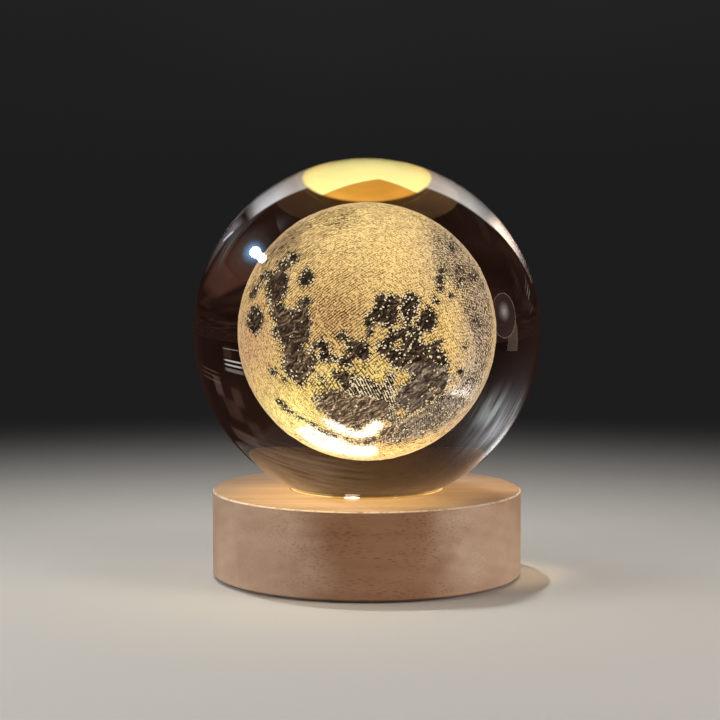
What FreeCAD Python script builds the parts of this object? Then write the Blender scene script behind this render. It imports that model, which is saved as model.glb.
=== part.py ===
import FreeCAD, Part

import math
import os

# Moon lamp: a solid crystal ball with a moon engraved inside it, resting on a
# round beech base that holds the light.  Millimetres, +Z up.  The origin is the
# centre of the underside; the front is -Y, and the inlet and button are behind.
#
# From the table up: a foam pad, the bottom cover, the turned wooden base with
# the circuit board screwed under its ceiling, a reflector cup round the light
# sources, a clear window over them, a soft seat ring and the ball.

V = FreeCAD.Vector

# ------------------------------------------------------------ driving sizes
ball_r = 40.0            # crystal ball, 80 mm across
ball_z = 56.6            # height of the ball's centre
ball_flat_r = 10.0       # small flat ground on the ball's underside
moon_r = 19.7            # engraved moon, 39.4 mm across

base_r = 35.75           # turned wooden base, 71.5 mm across
base_bottom_z = 0.5
base_top_z = 20.2
base_edge = 0.4          # chamfer on both rims

pad_r, pad_t = 31.1, 1.0            # foam pad under the cover
cover_r, cover_t = 31.2, 1.8        # bottom cover
recess_r = 31.5                     # recess for cover and pad
recess_top_z = 2.8
cavity_r = 26.0                     # room for the board's parts
cavity_top_z = 11.6                 # the ceiling that the board is screwed to

well_low_r = 12.0                   # light well, lower part, round the cup
well_step_z = 14.6                  # step that the window lies on
well_up_r = 14.4                    # light well, upper part
seat_floor_z = 18.0                 # counterbore for the seat ring
seat_r = 17.9

ring_r_out = 17.7                   # seat ring
ring_r_in = 14.6
ring_gap = 0.1                      # between the ring's face and the ball

window_r, window_t = 14.2, 1.6      # clear window over the light sources
cup_r_out, cup_h = 11.8, 2.9        # reflector cup
cup_r_low, cup_r_high = 8.8, 10.9

board_r, board_t = 25.0, 1.6
board_z = cavity_top_z - board_t    # underside of the board, 10.0
tab_half_w, tab_y = 7.0, 31.0       # the board's tab that carries the socket

socket_w, socket_h, socket_wall = 8.94, 3.26, 0.30
socket_mouth_y, socket_back_y = 32.0, 24.65
port_z = board_z - socket_h / 2     # height of the inlet and button, 8.37
notch_half_w, notch_y = 7.5, 31.2   # notch in the wall for the board's tab
port_w, port_h = 12.8, 7.0          # clear pocket for a plug's grip
port_wall = 1.1
proud_r = 36.05                     # bezels follow the rim, 0.3 mm proud

button_angle = 50.0                 # degrees from +X towards +Y
button_travel = 1.5
switch_in, switch_out, switch_w = 17.5, 24.5, 7.0
plunger_in, plunger_out, plunger_w = 23.0, 28.0, 2.0
button_r, button_face = 3.5, 36.9
stem_r = 2.0
bush_r, bush_in, bush_floor = 5.0, 29.5, 31.0

screw_angles = (30.0, 150.0, 270.0)
board_screw_circle = 21.5
cover_screw_circle = 28.75

led_circle, led_count = 5.2, 6


# ------------------------------------------------------------ small helpers
def cyl(r, z0, z1, x=0.0, y=0.0):
    return Part.makeCylinder(r, z1 - z0, V(x, y, z0))


def cone(r0, r1, z0, z1, x=0.0, y=0.0):
    return Part.makeCone(r0, r1, z1 - z0, V(x, y, z0))


def box(x0, x1, y0, y1, z0, z1):
    return Part.makeBox(x1 - x0, y1 - y0, z1 - z0, V(x0, y0, z0))


def polar(r, deg):
    a = math.radians(deg)
    return r * math.cos(a), r * math.sin(a)


def revolve(points):
    """Solid of revolution about Z from a closed list of (r, z) points."""
    wire = Part.makePolygon([V(r, 0, z) for r, z in points + points[:1]])
    return Part.Face(wire).revolve(V(0, 0, 0), V(0, 0, 1), 360)


def stadium(w, h, y0, y1, zc):
    """Slot-shaped prism along Y, w wide and h high, centred on x=0, z=zc."""
    r = h / 2
    a = w / 2 - r
    edges = [
        Part.LineSegment(V(-a, y0, zc - r), V(a, y0, zc - r)).toShape(),
        Part.Arc(V(a, y0, zc - r), V(a + r, y0, zc), V(a, y0, zc + r)).toShape(),
        Part.LineSegment(V(a, y0, zc + r), V(-a, y0, zc + r)).toShape(),
        Part.Arc(V(-a, y0, zc + r), V(-a - r, y0, zc), V(-a, y0, zc - r)).toShape(),
    ]
    face = Part.Face(Part.Wire(edges))
    return face.extrude(V(0, y1 - y0, 0))


def fuse(shapes):
    out = shapes[0]
    for s in shapes[1:]:
        out = out.fuse(s)
    return out.removeSplitter()


def along_x_at(shape, deg):
    """Turns a shape modelled along +X to the given angle about Z."""
    s = shape.copy()
    s.rotate(V(0, 0, 0), V(0, 0, 1), deg)
    return s


def rod_x(r, x0, x1, z):
    return Part.makeCylinder(r, x1 - x0, V(x0, 0, z), V(1, 0, 0))


os.makedirs("parts", exist_ok=True)
made = {}


def keep(name, *solids):
    shape = solids[0] if len(solids) == 1 else Part.makeCompound(list(solids))
    assert shape.isValid(), name
    assert all(s.Volume > 0 for s in shape.Solids), name
    made[name] = shape
    shape.exportStep(os.path.join("parts", name + ".step"))
    b = shape.BoundBox
    print(
        "%-22s solids %2d  volume %9.1f mm3  z %6.2f..%6.2f"
        % (name, len(shape.Solids), shape.Volume, b.ZMin, b.ZMax)
    )


# ------------------------------------------------------------ wooden base
rim = [
    (0, base_bottom_z),
    (base_r - base_edge, base_bottom_z),
    (base_r, base_bottom_z + base_edge),
    (base_r, base_top_z - base_edge),
    (base_r - base_edge, base_top_z),
    (0, base_top_z),
]
wood = revolve(rim)
for tool in (
    cyl(recess_r, base_bottom_z - 1, recess_top_z),
    cyl(cavity_r, base_bottom_z, cavity_top_z),
    cyl(well_low_r, cavity_top_z - 1, base_top_z),
    cyl(well_up_r, well_step_z, base_top_z),
    cyl(seat_r, seat_floor_z, base_top_z + 1),
    box(-notch_half_w, notch_half_w, 15, notch_y, base_bottom_z, cavity_top_z),
    stadium(port_w + 2 * port_wall, port_h + 2 * port_wall, notch_y - 1, 40, port_z),
    along_x_at(rod_x(bush_r, bush_in, 40, port_z), button_angle),
    along_x_at(rod_x(3.5, 20, bush_in, port_z), button_angle),
):
    wood = wood.cut(tool)
for a in screw_angles:
    x, y = polar(board_screw_circle, a)
    wood = wood.cut(cyl(1.0, cavity_top_z - 1, 15.6, x, y))
    x, y = polar(cover_screw_circle, a)
    wood = wood.cut(cyl(1.1, recess_top_z - 1, 9.6, x, y))
wood = wood.removeSplitter()
keep("wood_base", wood.Solids[0])

# ------------------------------------------------------------ ball and moon
centre = V(0, 0, ball_z)


def crater(lat, lon, rim_r, bowl):
    """A bowl that cuts a round dent of rim radius rim_r in the moon."""
    s = rim_r * bowl
    c = math.sqrt(moon_r**2 - rim_r**2) + math.sqrt(s * s - rim_r**2)
    la, lo = math.radians(lat), math.radians(lon)
    d = V(math.cos(la) * math.cos(lo), math.cos(la) * math.sin(lo), math.sin(la))
    return Part.makeSphere(s, centre + d * c)


# latitude, longitude (-90 faces the front), rim radius, bowl radius / rim radius
craters = [
    (-52, -80, 2.1, 1.6),
    (-30, -55, 1.5, 1.5),
    (8, -35, 1.3, 1.6),
    (38, -60, 1.7, 1.7),
    (62, -110, 1.9, 1.7),
    (28, -100, 1.2, 1.5),
    (-8, -128, 1.4, 1.6),
    (-38, -140, 1.8, 1.6),
    (20, -160, 1.9, 1.8),
    (-20, 175, 1.5, 1.6),
    (45, 150, 1.6, 1.7),
    (0, 135, 2.2, 1.8),
    (-45, 110, 1.7, 1.6),
    (25, 95, 1.8, 1.7),
    (-15, 70, 1.4, 1.6),
    (55, 50, 1.9, 1.8),
    (10, 30, 2.0, 1.7),
    (-40, 15, 1.8, 1.6),
    (35, -5, 1.5, 1.6),
    (-12, -12, 1.3, 1.5),
]
moon = Part.makeSphere(moon_r, centre)
for c in craters:
    moon = moon.cut(crater(*c))
flat_z = ball_z - math.sqrt(ball_r**2 - ball_flat_r**2)
ball = Part.makeSphere(ball_r, centre)
ball = ball.cut(box(-50, 50, -50, 50, ball_z - ball_r - 5, flat_z))
ball = ball.cut(moon)
keep("crystal_ball", ball.Solids[0])
keep("engraved_moon", moon.Solids[0])


# ------------------------------------------------------------ seat ring
def under_ball(r):
    return ball_z - math.sqrt((ball_r + ring_gap) ** 2 - r * r)


p_in = V(ring_r_in, 0, under_ball(ring_r_in))
p_out = V(ring_r_out - 0.25, 0, under_ball(ring_r_out - 0.25))
r_mid = (p_in.x + p_out.x) / 2
p_mid = V(r_mid, 0, under_ball(r_mid))
top_lip = p_out.z
ring_edges = [
    Part.LineSegment(V(ring_r_in, 0, seat_floor_z), V(ring_r_out, 0, seat_floor_z)),
    Part.LineSegment(V(ring_r_out, 0, seat_floor_z), V(ring_r_out, 0, top_lip - 0.2)),
    Part.LineSegment(V(ring_r_out, 0, top_lip - 0.2), p_out),
    Part.Arc(p_out, p_mid, p_in),
    Part.LineSegment(p_in, V(ring_r_in, 0, seat_floor_z)),
]
ring_face = Part.Face(Part.Wire([e.toShape() for e in ring_edges]))
ring = ring_face.revolve(V(0, 0, 0), V(0, 0, 1), 360)
keep("seat_ring", ring)

# ------------------------------------------------------------ light parts
window = cyl(window_r, well_step_z, well_step_z + window_t)
window = window.makeChamfer(
    0.3, [e for e in window.Edges if abs(e.BoundBox.ZMin - well_step_z - window_t) < 1e-6]
)
keep("led_window", window)

cup = cyl(cup_r_out, cavity_top_z, cavity_top_z + cup_h).cut(
    cone(cup_r_low, cup_r_high, cavity_top_z, cavity_top_z + cup_h)
)
keep("reflector_cup", cup)

board = cyl(board_r, board_z, cavity_top_z)
board = board.fuse(box(-tab_half_w, tab_half_w, 20, tab_y, board_z, cavity_top_z))
for a in screw_angles:
    x, y = polar(board_screw_circle, a)
    board = board.cut(cyl(1.1, board_z - 1, cavity_top_z + 1, x, y))
keep("led_board", board.removeSplitter())

packages, phosphors = [], []
for i in range(led_count):
    a = 360.0 * i / led_count + 30
    body = box(
        led_circle - 1.75, led_circle + 1.75, -1.4, 1.4, cavity_top_z, cavity_top_z + 0.7
    )
    pocket = box(
        led_circle - 1.3, led_circle + 1.3, -1.1, 1.1, cavity_top_z + 0.35, cavity_top_z + 0.7
    )
    packages.append(along_x_at(body.cut(pocket), a))
    phosphors.append(along_x_at(pocket, a))
keep("led_packages", *packages)
keep("led_phosphors", *phosphors)

resistors = []
for i in range(6):
    a = 60.0 * i
    r = box(-1.6, 1.6, -0.8, 0.8, board_z - 0.55, board_z)
    r.translate(V(12.5, 0, 0))
    resistors.append(along_x_at(r, a))
keep("chip_resistors", *resistors)

chip = box(-2.25, 2.25, -3.25, -0.75, board_z - 1.5, board_z)
keep("driver_chip", chip)

keep(
    "chip_capacitors",
    box(-5.6, -3.6, 17.4, 18.65, board_z - 1.25, board_z),
    box(3.6, 5.6, 17.4, 18.65, board_z - 1.25, board_z),
)

# ------------------------------------------------------------ power inlet
shell = stadium(socket_w, socket_h, socket_back_y, socket_mouth_y, port_z).cut(
    stadium(
        socket_w - 2 * socket_wall,
        socket_h - 2 * socket_wall,
        socket_back_y - 1,
        socket_mouth_y + 1,
        port_z,
    )
)
feet = [
    box(s * 4.35, s * 4.35 + s * 1.0, y, y + 1.2, board_z - 0.3, board_z)
    if s > 0
    else box(-5.35, -4.35, y, y + 1.2, board_z - 0.3, board_z)
    for s in (1, -1)
    for y in (25.4, 29.2)
]
strap = [
    box(3.2, 4.6, y, y + 1.2, board_z - 0.3, board_z)
    if s > 0
    else box(-4.6, -3.2, y, y + 1.2, board_z - 0.3, board_z)
    for s in (1, -1)
    for y in (25.4, 29.2)
]
inner_clear = stadium(
    socket_w - 2 * socket_wall, socket_h - 2 * socket_wall, 20, 40, port_z
)
shell = fuse([shell] + strap + feet).cut(inner_clear)
keep("usb_socket_shell", shell.Solids[0])

tongue = stadium(
    socket_w - 2 * socket_wall, socket_h - 2 * socket_wall, socket_back_y, 26.6, port_z
).fuse(box(-3.35, 3.35, 26.5, 31.2, port_z - 0.35, port_z + 0.35))
keep("usb_socket_tongue", tongue.removeSplitter())

contacts = []
for k in range(6):
    x = -2.5 + k * 1.0
    for s in (1, -1):
        z0 = port_z + 0.35 if s > 0 else port_z - 0.43
        contacts.append(box(x - 0.15, x + 0.15, 26.7, 30.7, z0, z0 + 0.08))
keep("usb_socket_contacts", *contacts)

bezel = stadium(
    port_w + 2 * port_wall, port_h + 2 * port_wall, notch_y, 40, port_z
).common(cyl(proud_r, 0, 20))
bezel = bezel.cut(stadium(port_w, port_h, socket_mouth_y, 41, port_z))
bezel = bezel.cut(stadium(socket_w + 0.2, socket_h + 0.2, notch_y - 1, 41, port_z))
keep("port_bezel", bezel.Solids[0])

# ------------------------------------------------------------ push button
switch = box(
    switch_in, switch_out, -switch_w / 2, switch_w / 2, board_z - socket_h, board_z
)
half = plunger_w / 2 + 0.1
switch = switch.cut(
    box(
        plunger_in - button_travel - 0.2,
        switch_out + 1,
        -half,
        half,
        port_z - half,
        port_z + half,
    )
)
keep("switch_body", along_x_at(switch, button_angle))

pins = []
for dx in (19.0, 21.0, 23.0):
    for s in (1, -1):
        y0 = s * (switch_w / 2)
        ya, yb = (y0, y0 + 0.9) if s > 0 else (y0 - 0.9, y0)
        pins.append(
            along_x_at(box(dx - 0.3, dx + 0.3, ya, yb, board_z - 0.25, board_z), button_angle)
        )
keep("switch_terminals", *pins)

h = plunger_w / 2
plunger = box(plunger_in, plunger_out, -h, h, port_z - h, port_z + h)
keep("switch_plunger", along_x_at(plunger, button_angle))

# cap: stem with a snap collar, and a head with a shallow domed face
dome_r = 14.0
head = rod_x(button_r, 33.0, button_face, port_z).common(
    Part.makeSphere(dome_r, V(button_face - dome_r, 0, port_z))
)
stem = rod_x(stem_r, plunger_out, 33.5, port_z)
collar = rod_x(2.7, 28.5, 29.4, port_z)
cap = fuse([head, stem, collar])
keep("button_cap", along_x_at(cap, button_angle))

bush = rod_x(bush_r, bush_in, 40, port_z).common(
    along_x_at(cyl(proud_r, 0, 20), 0)
)
bush = bush.cut(rod_x(button_r + 0.15, bush_floor, 41, port_z))
bush = bush.cut(rod_x(stem_r + 0.15, bush_in - 1, 41, port_z))
keep("button_bezel", along_x_at(bush.Solids[0], button_angle))


# ------------------------------------------------------------ screws
def cross(x, y, z0, z1, size):
    return box(x - size, x + size, y - 0.25, y + 0.25, z0, z1).fuse(
        box(x - 0.25, x + 0.25, y - size, y + size, z0, z1)
    )


board_screws, cover_screws = [], []
for a in screw_angles:
    x, y = polar(board_screw_circle, a)
    s = fuse(
        [
            cyl(1.9, board_z - 1.3, board_z, x, y),
            cyl(1.0, board_z - 0.1, 14.6, x, y),
            cone(1.0, 0.3, 14.6, 15.5, x, y),
        ]
    ).cut(cross(x, y, board_z - 1.3, board_z - 0.6, 1.0))
    board_screws.append(s)
    x, y = polar(cover_screw_circle, a)
    s = fuse(
        [
            cone(2.3, 1.1, pad_t, pad_t + 1.2, x, y),
            cyl(1.1, pad_t + 1.1, 8.6, x, y),
            cone(1.1, 0.3, 8.6, 9.5, x, y),
        ]
    ).cut(cross(x, y, pad_t, pad_t + 0.7, 1.2))
    cover_screws.append(s)
keep("board_screws", *board_screws)
keep("cover_screws", *cover_screws)

# ------------------------------------------------------------ cover and pad
cover = cyl(cover_r, pad_t, pad_t + cover_t)
for a in screw_angles:
    x, y = polar(cover_screw_circle, a)
    cover = cover.cut(cone(2.3, 1.1, pad_t, pad_t + 1.2, x, y))
    cover = cover.cut(cyl(1.1, pad_t + 1.1, 5, x, y))
keep("bottom_cover", cover)

keep("foam_pad", cyl(pad_r, 0, pad_t))

# ------------------------------------------------------------ own check
names = sorted(made)
for i, a in enumerate(names):
    for b in names[i + 1 :]:
        if not made[a].BoundBox.intersect(made[b].BoundBox):
            continue
        shared = made[a].common(made[b]).Volume
        if shared > 1e-4:
            print("overlap %s / %s  %.4f mm3" % (a, b, shared))
print("nodes", len(made))
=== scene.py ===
import math

import bpy
import numpy as np
from mathutils import Euler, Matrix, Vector


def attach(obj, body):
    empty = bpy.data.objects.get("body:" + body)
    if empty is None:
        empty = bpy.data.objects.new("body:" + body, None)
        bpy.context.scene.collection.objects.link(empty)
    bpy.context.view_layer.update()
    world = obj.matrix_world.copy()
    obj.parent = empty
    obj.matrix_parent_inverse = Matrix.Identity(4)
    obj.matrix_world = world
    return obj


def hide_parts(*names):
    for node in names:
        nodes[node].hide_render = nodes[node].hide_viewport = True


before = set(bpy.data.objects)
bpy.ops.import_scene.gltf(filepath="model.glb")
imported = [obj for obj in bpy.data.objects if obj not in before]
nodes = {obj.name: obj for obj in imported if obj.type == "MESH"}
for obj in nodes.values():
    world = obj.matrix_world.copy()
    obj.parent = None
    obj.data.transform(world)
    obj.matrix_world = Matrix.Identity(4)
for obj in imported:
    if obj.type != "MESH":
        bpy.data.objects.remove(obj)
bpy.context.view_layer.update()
scene = bpy.context.scene

MM = 0.001
BALL_R = 39.98 * MM
BALL_C = Vector((0, 0, 56.6 * MM))
FLAT_R = 10.0 * MM
MOON_R = 19.7 * MM
BASE_R = 35.75 * MM
BASE_TOP = 20.2 * MM
BASE_BOTTOM = 0.5 * MM
IOR = 1.52


# ---------------------------------------------------------------- node helpers
class Tree:
    """A material's or world's node tree, with short calls for the nodes used here."""

    def __init__(self, name, world=False):
        self.mat = (bpy.data.worlds if world else bpy.data.materials).new(name)
        self.mat.use_nodes = True
        self.t = self.mat.node_tree
        self.t.nodes.clear()
        if world:
            self.out = self.t.nodes.new("ShaderNodeOutputWorld")
            self.bg = self.t.nodes.new("ShaderNodeBackground")
            self.t.links.new(self.bg.outputs[0], self.out.inputs[0])
            self.coord = self.t.nodes.new("ShaderNodeTexCoord").outputs["Generated"]
            return
        self.out = self.t.nodes.new("ShaderNodeOutputMaterial")
        self.bsdf = self.t.nodes.new("ShaderNodeBsdfPrincipled")
        self.t.links.new(self.bsdf.outputs[0], self.out.inputs[0])
        self.coord = self.t.nodes.new("ShaderNodeTexCoord").outputs["Object"]

    def put(self, socket, value):
        if isinstance(value, bpy.types.NodeSocket):
            self.t.links.new(value, socket)
        elif value is not None:
            if socket.type == "RGBA" and len(value) == 3:
                value = (*value, 1.0)
            socket.default_value = value

    def set(self, **kw):
        for k, v in kw.items():
            self.put(self.bsdf.inputs[k.replace("_", " ")], v)

    def node(self, kind, outputs=0, **kw):
        n = self.t.nodes.new(kind)
        for k, v in kw.items():
            if not k.startswith("in_"):
                setattr(n, k, v)
        for k, v in kw.items():
            if k.startswith("in_"):
                self.put(n.inputs[int(k[3:])], v)
        return n.outputs[outputs]

    def math(self, op, a, b=None, c=None, clamp=False):
        n = self.t.nodes.new("ShaderNodeMath")
        n.operation = op
        n.use_clamp = clamp
        for s, v in zip(n.inputs, (a, b, c)):
            self.put(s, v)
        return n.outputs[0]

    def ramp(self, value, stops, interp="LINEAR"):
        n = self.t.nodes.new("ShaderNodeValToRGB")
        n.color_ramp.interpolation = interp
        el = n.color_ramp.elements
        while len(el) < len(stops):
            el.new(0.5)
        for e, (p, c) in zip(el, stops):
            e.position = p
            if isinstance(c, (int, float)):
                c = (c, c, c)
            e.color = (*c, 1.0)
        self.put(n.inputs[0], value)
        return n.outputs[0]

    def span(self, value, lo, hi, a=0.0, b=1.0, smooth=False):
        n = self.t.nodes.new("ShaderNodeMapRange")
        n.interpolation_type = "SMOOTHSTEP" if smooth else "LINEAR"
        for i, v in enumerate((value, lo, hi, a, b)):
            self.put(n.inputs[i], v)
        return n.outputs[0]

    def mix(self, fac, a, b, blend="MIX"):
        n = self.t.nodes.new("ShaderNodeMix")
        n.data_type = "RGBA"
        n.blend_type = blend
        n.clamp_factor = True
        self.put(n.inputs[0], fac)
        self.put(n.inputs[6], a)
        self.put(n.inputs[7], b)
        return n.outputs[2]

    def scaled(self, sx, sy, sz, rot=(0, 0, 0), vector=None):
        n = self.t.nodes.new("ShaderNodeMapping")
        self.put(n.inputs[0], vector or self.coord)
        n.inputs["Rotation"].default_value = rot
        n.inputs["Scale"].default_value = (sx, sy, sz)
        return n.outputs[0]

    def turned(self, sizes, rot, vector=None):
        """Turned first, then divided by the sizes, so one unit is one cell."""
        n = self.t.nodes.new("ShaderNodeMapping")
        n.vector_type = "TEXTURE"
        self.put(n.inputs[0], vector or self.coord)
        n.inputs["Rotation"].default_value = rot
        n.inputs["Scale"].default_value = sizes
        return n.outputs[0]

    def noise(self, vector, scale=1.0, detail=2.0, rough=0.5, distortion=0.0):
        n = self.t.nodes.new("ShaderNodeTexNoise")
        self.put(n.inputs["Vector"], vector)
        n.inputs["Scale"].default_value = scale
        n.inputs["Detail"].default_value = detail
        n.inputs["Roughness"].default_value = rough
        n.inputs["Distortion"].default_value = distortion
        return n.outputs[0]

    def voronoi(self, vector, scale=1.0, randomness=1.0, feature="F1", output="Distance"):
        n = self.t.nodes.new("ShaderNodeTexVoronoi")
        n.feature = feature
        self.put(n.inputs["Vector"], vector)
        n.inputs["Scale"].default_value = scale
        n.inputs["Randomness"].default_value = randomness
        return n.outputs[output]

    def attr(self, name, output="Fac"):
        n = self.t.nodes.new("ShaderNodeAttribute")
        n.attribute_name = name
        return n.outputs[output]

    def xyz(self, vector=None):
        n = self.t.nodes.new("ShaderNodeSeparateXYZ")
        self.put(n.inputs[0], vector or self.coord)
        return n.outputs

    def bump(self, height, strength=0.3, distance=0.0001, normal=None):
        n = self.t.nodes.new("ShaderNodeBump")
        n.inputs["Strength"].default_value = strength
        n.inputs["Distance"].default_value = distance
        self.put(n.inputs["Height"], height)
        if normal is not None:
            self.put(n.inputs["Normal"], normal)
        return n.outputs[0]


def wear(mat, *names):
    for n in names:
        o = nodes[n]
        o.data.materials.clear()
        o.data.materials.append(mat)


def smooth_by_angle(o, degrees=32):
    """Smooth shading with sharp edges past the angle. Only shading flags change."""
    me = o.data
    me.polygons.foreach_set("use_smooth", [True] * len(me.polygons))
    limit = math.cos(math.radians(degrees))
    normals = np.zeros(len(me.polygons) * 3)
    me.polygons.foreach_get("normal", normals)
    normals = normals.reshape(-1, 3)
    faces_of = {}
    for p in me.polygons:
        for k in p.edge_keys:
            faces_of.setdefault(k, []).append(p.index)
    sharp = []
    for e in me.edges:
        f = faces_of.get(e.key, [])
        sharp.append(len(f) != 2 or float(normals[f[0]] @ normals[f[1]]) < limit)
    me.edges.foreach_set("use_edge_sharp", sharp)
    me.update()


def mesh_piece(name, verts, faces, mat, body, replaces=(), slot=None):
    me = bpy.data.meshes.new(name)
    me.from_pydata([tuple(v) for v in verts], [], faces)
    me.polygons.foreach_set("use_smooth", [True] * len(me.polygons))
    me.update()
    o = bpy.data.objects.new(name, me)
    scene.collection.objects.link(o)
    me.materials.append(mat)
    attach(o, body)
    if replaces:
        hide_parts(*replaces)
    return o


# ---------------------------------------------------------------- camera
cam_data = bpy.data.cameras.new("view")
cam_data.sensor_width = 36.0
cam_data.lens = 105.4
cam = bpy.data.objects.new("view", cam_data)
scene.collection.objects.link(cam)
cam.location = (0.0, -0.4857, 0.0918)
cam.rotation_euler = Euler((math.radians(90 - 4.92), 0.0, math.radians(0.1875)))
scene.camera = cam

# ---------------------------------------------------------------- noise in code
def _lattice(ix, iy, iz, seed):
    h = (ix * 374761393 + iy * 668265263 + iz * 2147483647 + seed * 974634777) & 0xFFFFFFFF
    h = ((h ^ (h >> 13)) * 1274126177) & 0xFFFFFFFF
    h = ((h ^ (h >> 16)) * 2246822519) & 0xFFFFFFFF
    return (h ^ (h >> 15)) & 0xFFFFFFFF


def noise3(p, seed=0):
    """Gradient noise at points p, in about -1..1."""
    i = np.floor(p).astype(np.int64)
    f = p - i
    w = f * f * f * (f * (f * 6 - 15) + 10)
    total = np.zeros(len(p))
    for dx in (0, 1):
        for dy in (0, 1):
            for dz in (0, 1):
                h = _lattice(i[:, 0] + dx, i[:, 1] + dy, i[:, 2] + dz, seed)
                a = (h & 0xFFFF) / 65535.0 * 2 * math.pi
                c = ((h >> 16) & 0xFFFF) / 65535.0 * 2 - 1
                s = np.sqrt(np.maximum(0, 1 - c * c))
                g = (
                    s * np.cos(a) * (f[:, 0] - dx)
                    + s * np.sin(a) * (f[:, 1] - dy)
                    + c * (f[:, 2] - dz)
                )
                wx = w[:, 0] if dx else 1 - w[:, 0]
                wy = w[:, 1] if dy else 1 - w[:, 1]
                wz = w[:, 2] if dz else 1 - w[:, 2]
                total += wx * wy * wz * g
    return total * 1.6


def fbm(p, octaves=4, seed=0, gain=0.5):
    out, amp, norm = np.zeros(len(p)), 1.0, 0.0
    for k in range(octaves):
        out += amp * noise3(p * 2.0**k + 17.3 * k, seed + k)
        norm += amp
        amp *= gain
    return out / norm


def step(x, lo, hi):
    t = np.clip((x - lo) / (hi - lo), 0, 1)
    return t * t * (3 - 2 * t)


# ---------------------------------------------------------------- the crystal
def ball_mesh():
    """The ball's outer surface: a sphere with a small ground flat and a fine edge."""
    seg, rings = 288, 150
    r, c = BALL_R / MM, BALL_C.z / MM
    flat_z = c - math.sqrt(r * r - (FLAT_R / MM) ** 2)
    a_edge = math.asin(FLAT_R / MM / r)
    prof = []
    for k in range(1, rings):
        a = math.pi * k / rings
        if a > math.pi - a_edge - 0.008:
            break
        prof.append((r * math.sin(a), c + r * math.cos(a)))
    e = 0.22
    for t in np.linspace(0, 1, 7):
        # the ground edge, rounded from the sphere into the flat
        p0 = np.array([r * math.sin(a_edge + 0.006), c - r * math.cos(a_edge + 0.006)])
        p1 = np.array([FLAT_R / MM, flat_z])
        p2 = np.array([FLAT_R / MM - e, flat_z])
        q = (1 - t) ** 2 * p0 + 2 * t * (1 - t) * p1 + t * t * p2
        prof.append((q[0], q[1]))
    for rr in np.linspace(FLAT_R / MM - e, 0, 12)[1:-1]:
        prof.append((rr, flat_z))
    verts, faces = [(0, 0, c + r)], []
    for rr, z in prof:
        for s in range(seg):
            b = 2 * math.pi * s / seg
            verts.append((rr * math.cos(b), rr * math.sin(b), z))
    verts.append((0, 0, flat_z))
    n = len(prof)
    for s in range(seg):
        faces.append((0, 1 + s, 1 + (s + 1) % seg))
        for k in range(n - 1):
            i0, i1 = 1 + k * seg, 1 + (k + 1) * seg
            faces.append((i0 + s, i1 + s, i1 + (s + 1) % seg, i0 + (s + 1) % seg))
        last = 1 + (n - 1) * seg
        faces.append((last + s, len(verts) - 1, last + (s + 1) % seg))
    return np.array(verts) * MM, faces


def crystal_material():
    t = Tree("polished crystal")
    haze = t.noise(t.scaled(60, 60, 60), 1.0, 5.0, 0.65)
    marks = t.noise(t.scaled(700, 700, 2400, (0.5, 0.3, 0.2)), 1.0, 2.0, 0.5)
    rough = t.math("MULTIPLY", t.span(haze, 0.45, 0.8), t.span(marks, 0.5, 0.8))
    t.set(
        Base_Color=(1.0, 1.0, 1.0),
        Transmission_Weight=1.0,
        IOR=IOR,
        Roughness=t.math("MULTIPLY", rough, 0.03),
    )
    return t.mat


# ---------------------------------------------------------------- the moon
# The moon's face is laid out in its own view disc: u to the right and v up, in
# moon radii as they look through the ball, and the map below turns that into a
# direction on the real sphere behind the glass.
TILT = math.radians(4.12)
VIEW = np.array([0.0, -math.cos(TILT), math.sin(TILT)])
UP = np.array([0.0, math.sin(TILT), math.cos(TILT)])
RIGHT = np.array([1.0, 0.0, 0.0])
K = IOR * MOON_R / BALL_R
_rho = np.linspace(0, 1, 400)
_phi = np.arcsin(_rho) + np.arcsin(K * _rho) - np.arcsin(K / IOR * _rho)


def disc_of(d):
    """Directions on the moon to disc coordinates; past the seen edge rho goes on above 1."""
    phi = np.arccos(np.clip(d @ VIEW, -1, 1))
    rho = np.interp(phi, _phi, _rho)
    rho = np.where(phi > _phi[-1], 1 + (phi - _phi[-1]) / 0.9, rho)
    x, y = d @ RIGHT, d @ UP
    n = np.maximum(np.hypot(x, y), 1e-9)
    return rho * x / n, rho * y / n


def direction_of(u, v):
    rho = min(math.hypot(u, v), 1.0)
    phi = float(np.interp(rho, _rho, _phi))
    n = max(math.hypot(u, v), 1e-9)
    return math.cos(phi) * VIEW + math.sin(phi) * (u / n * RIGHT + v / n * UP)


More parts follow.
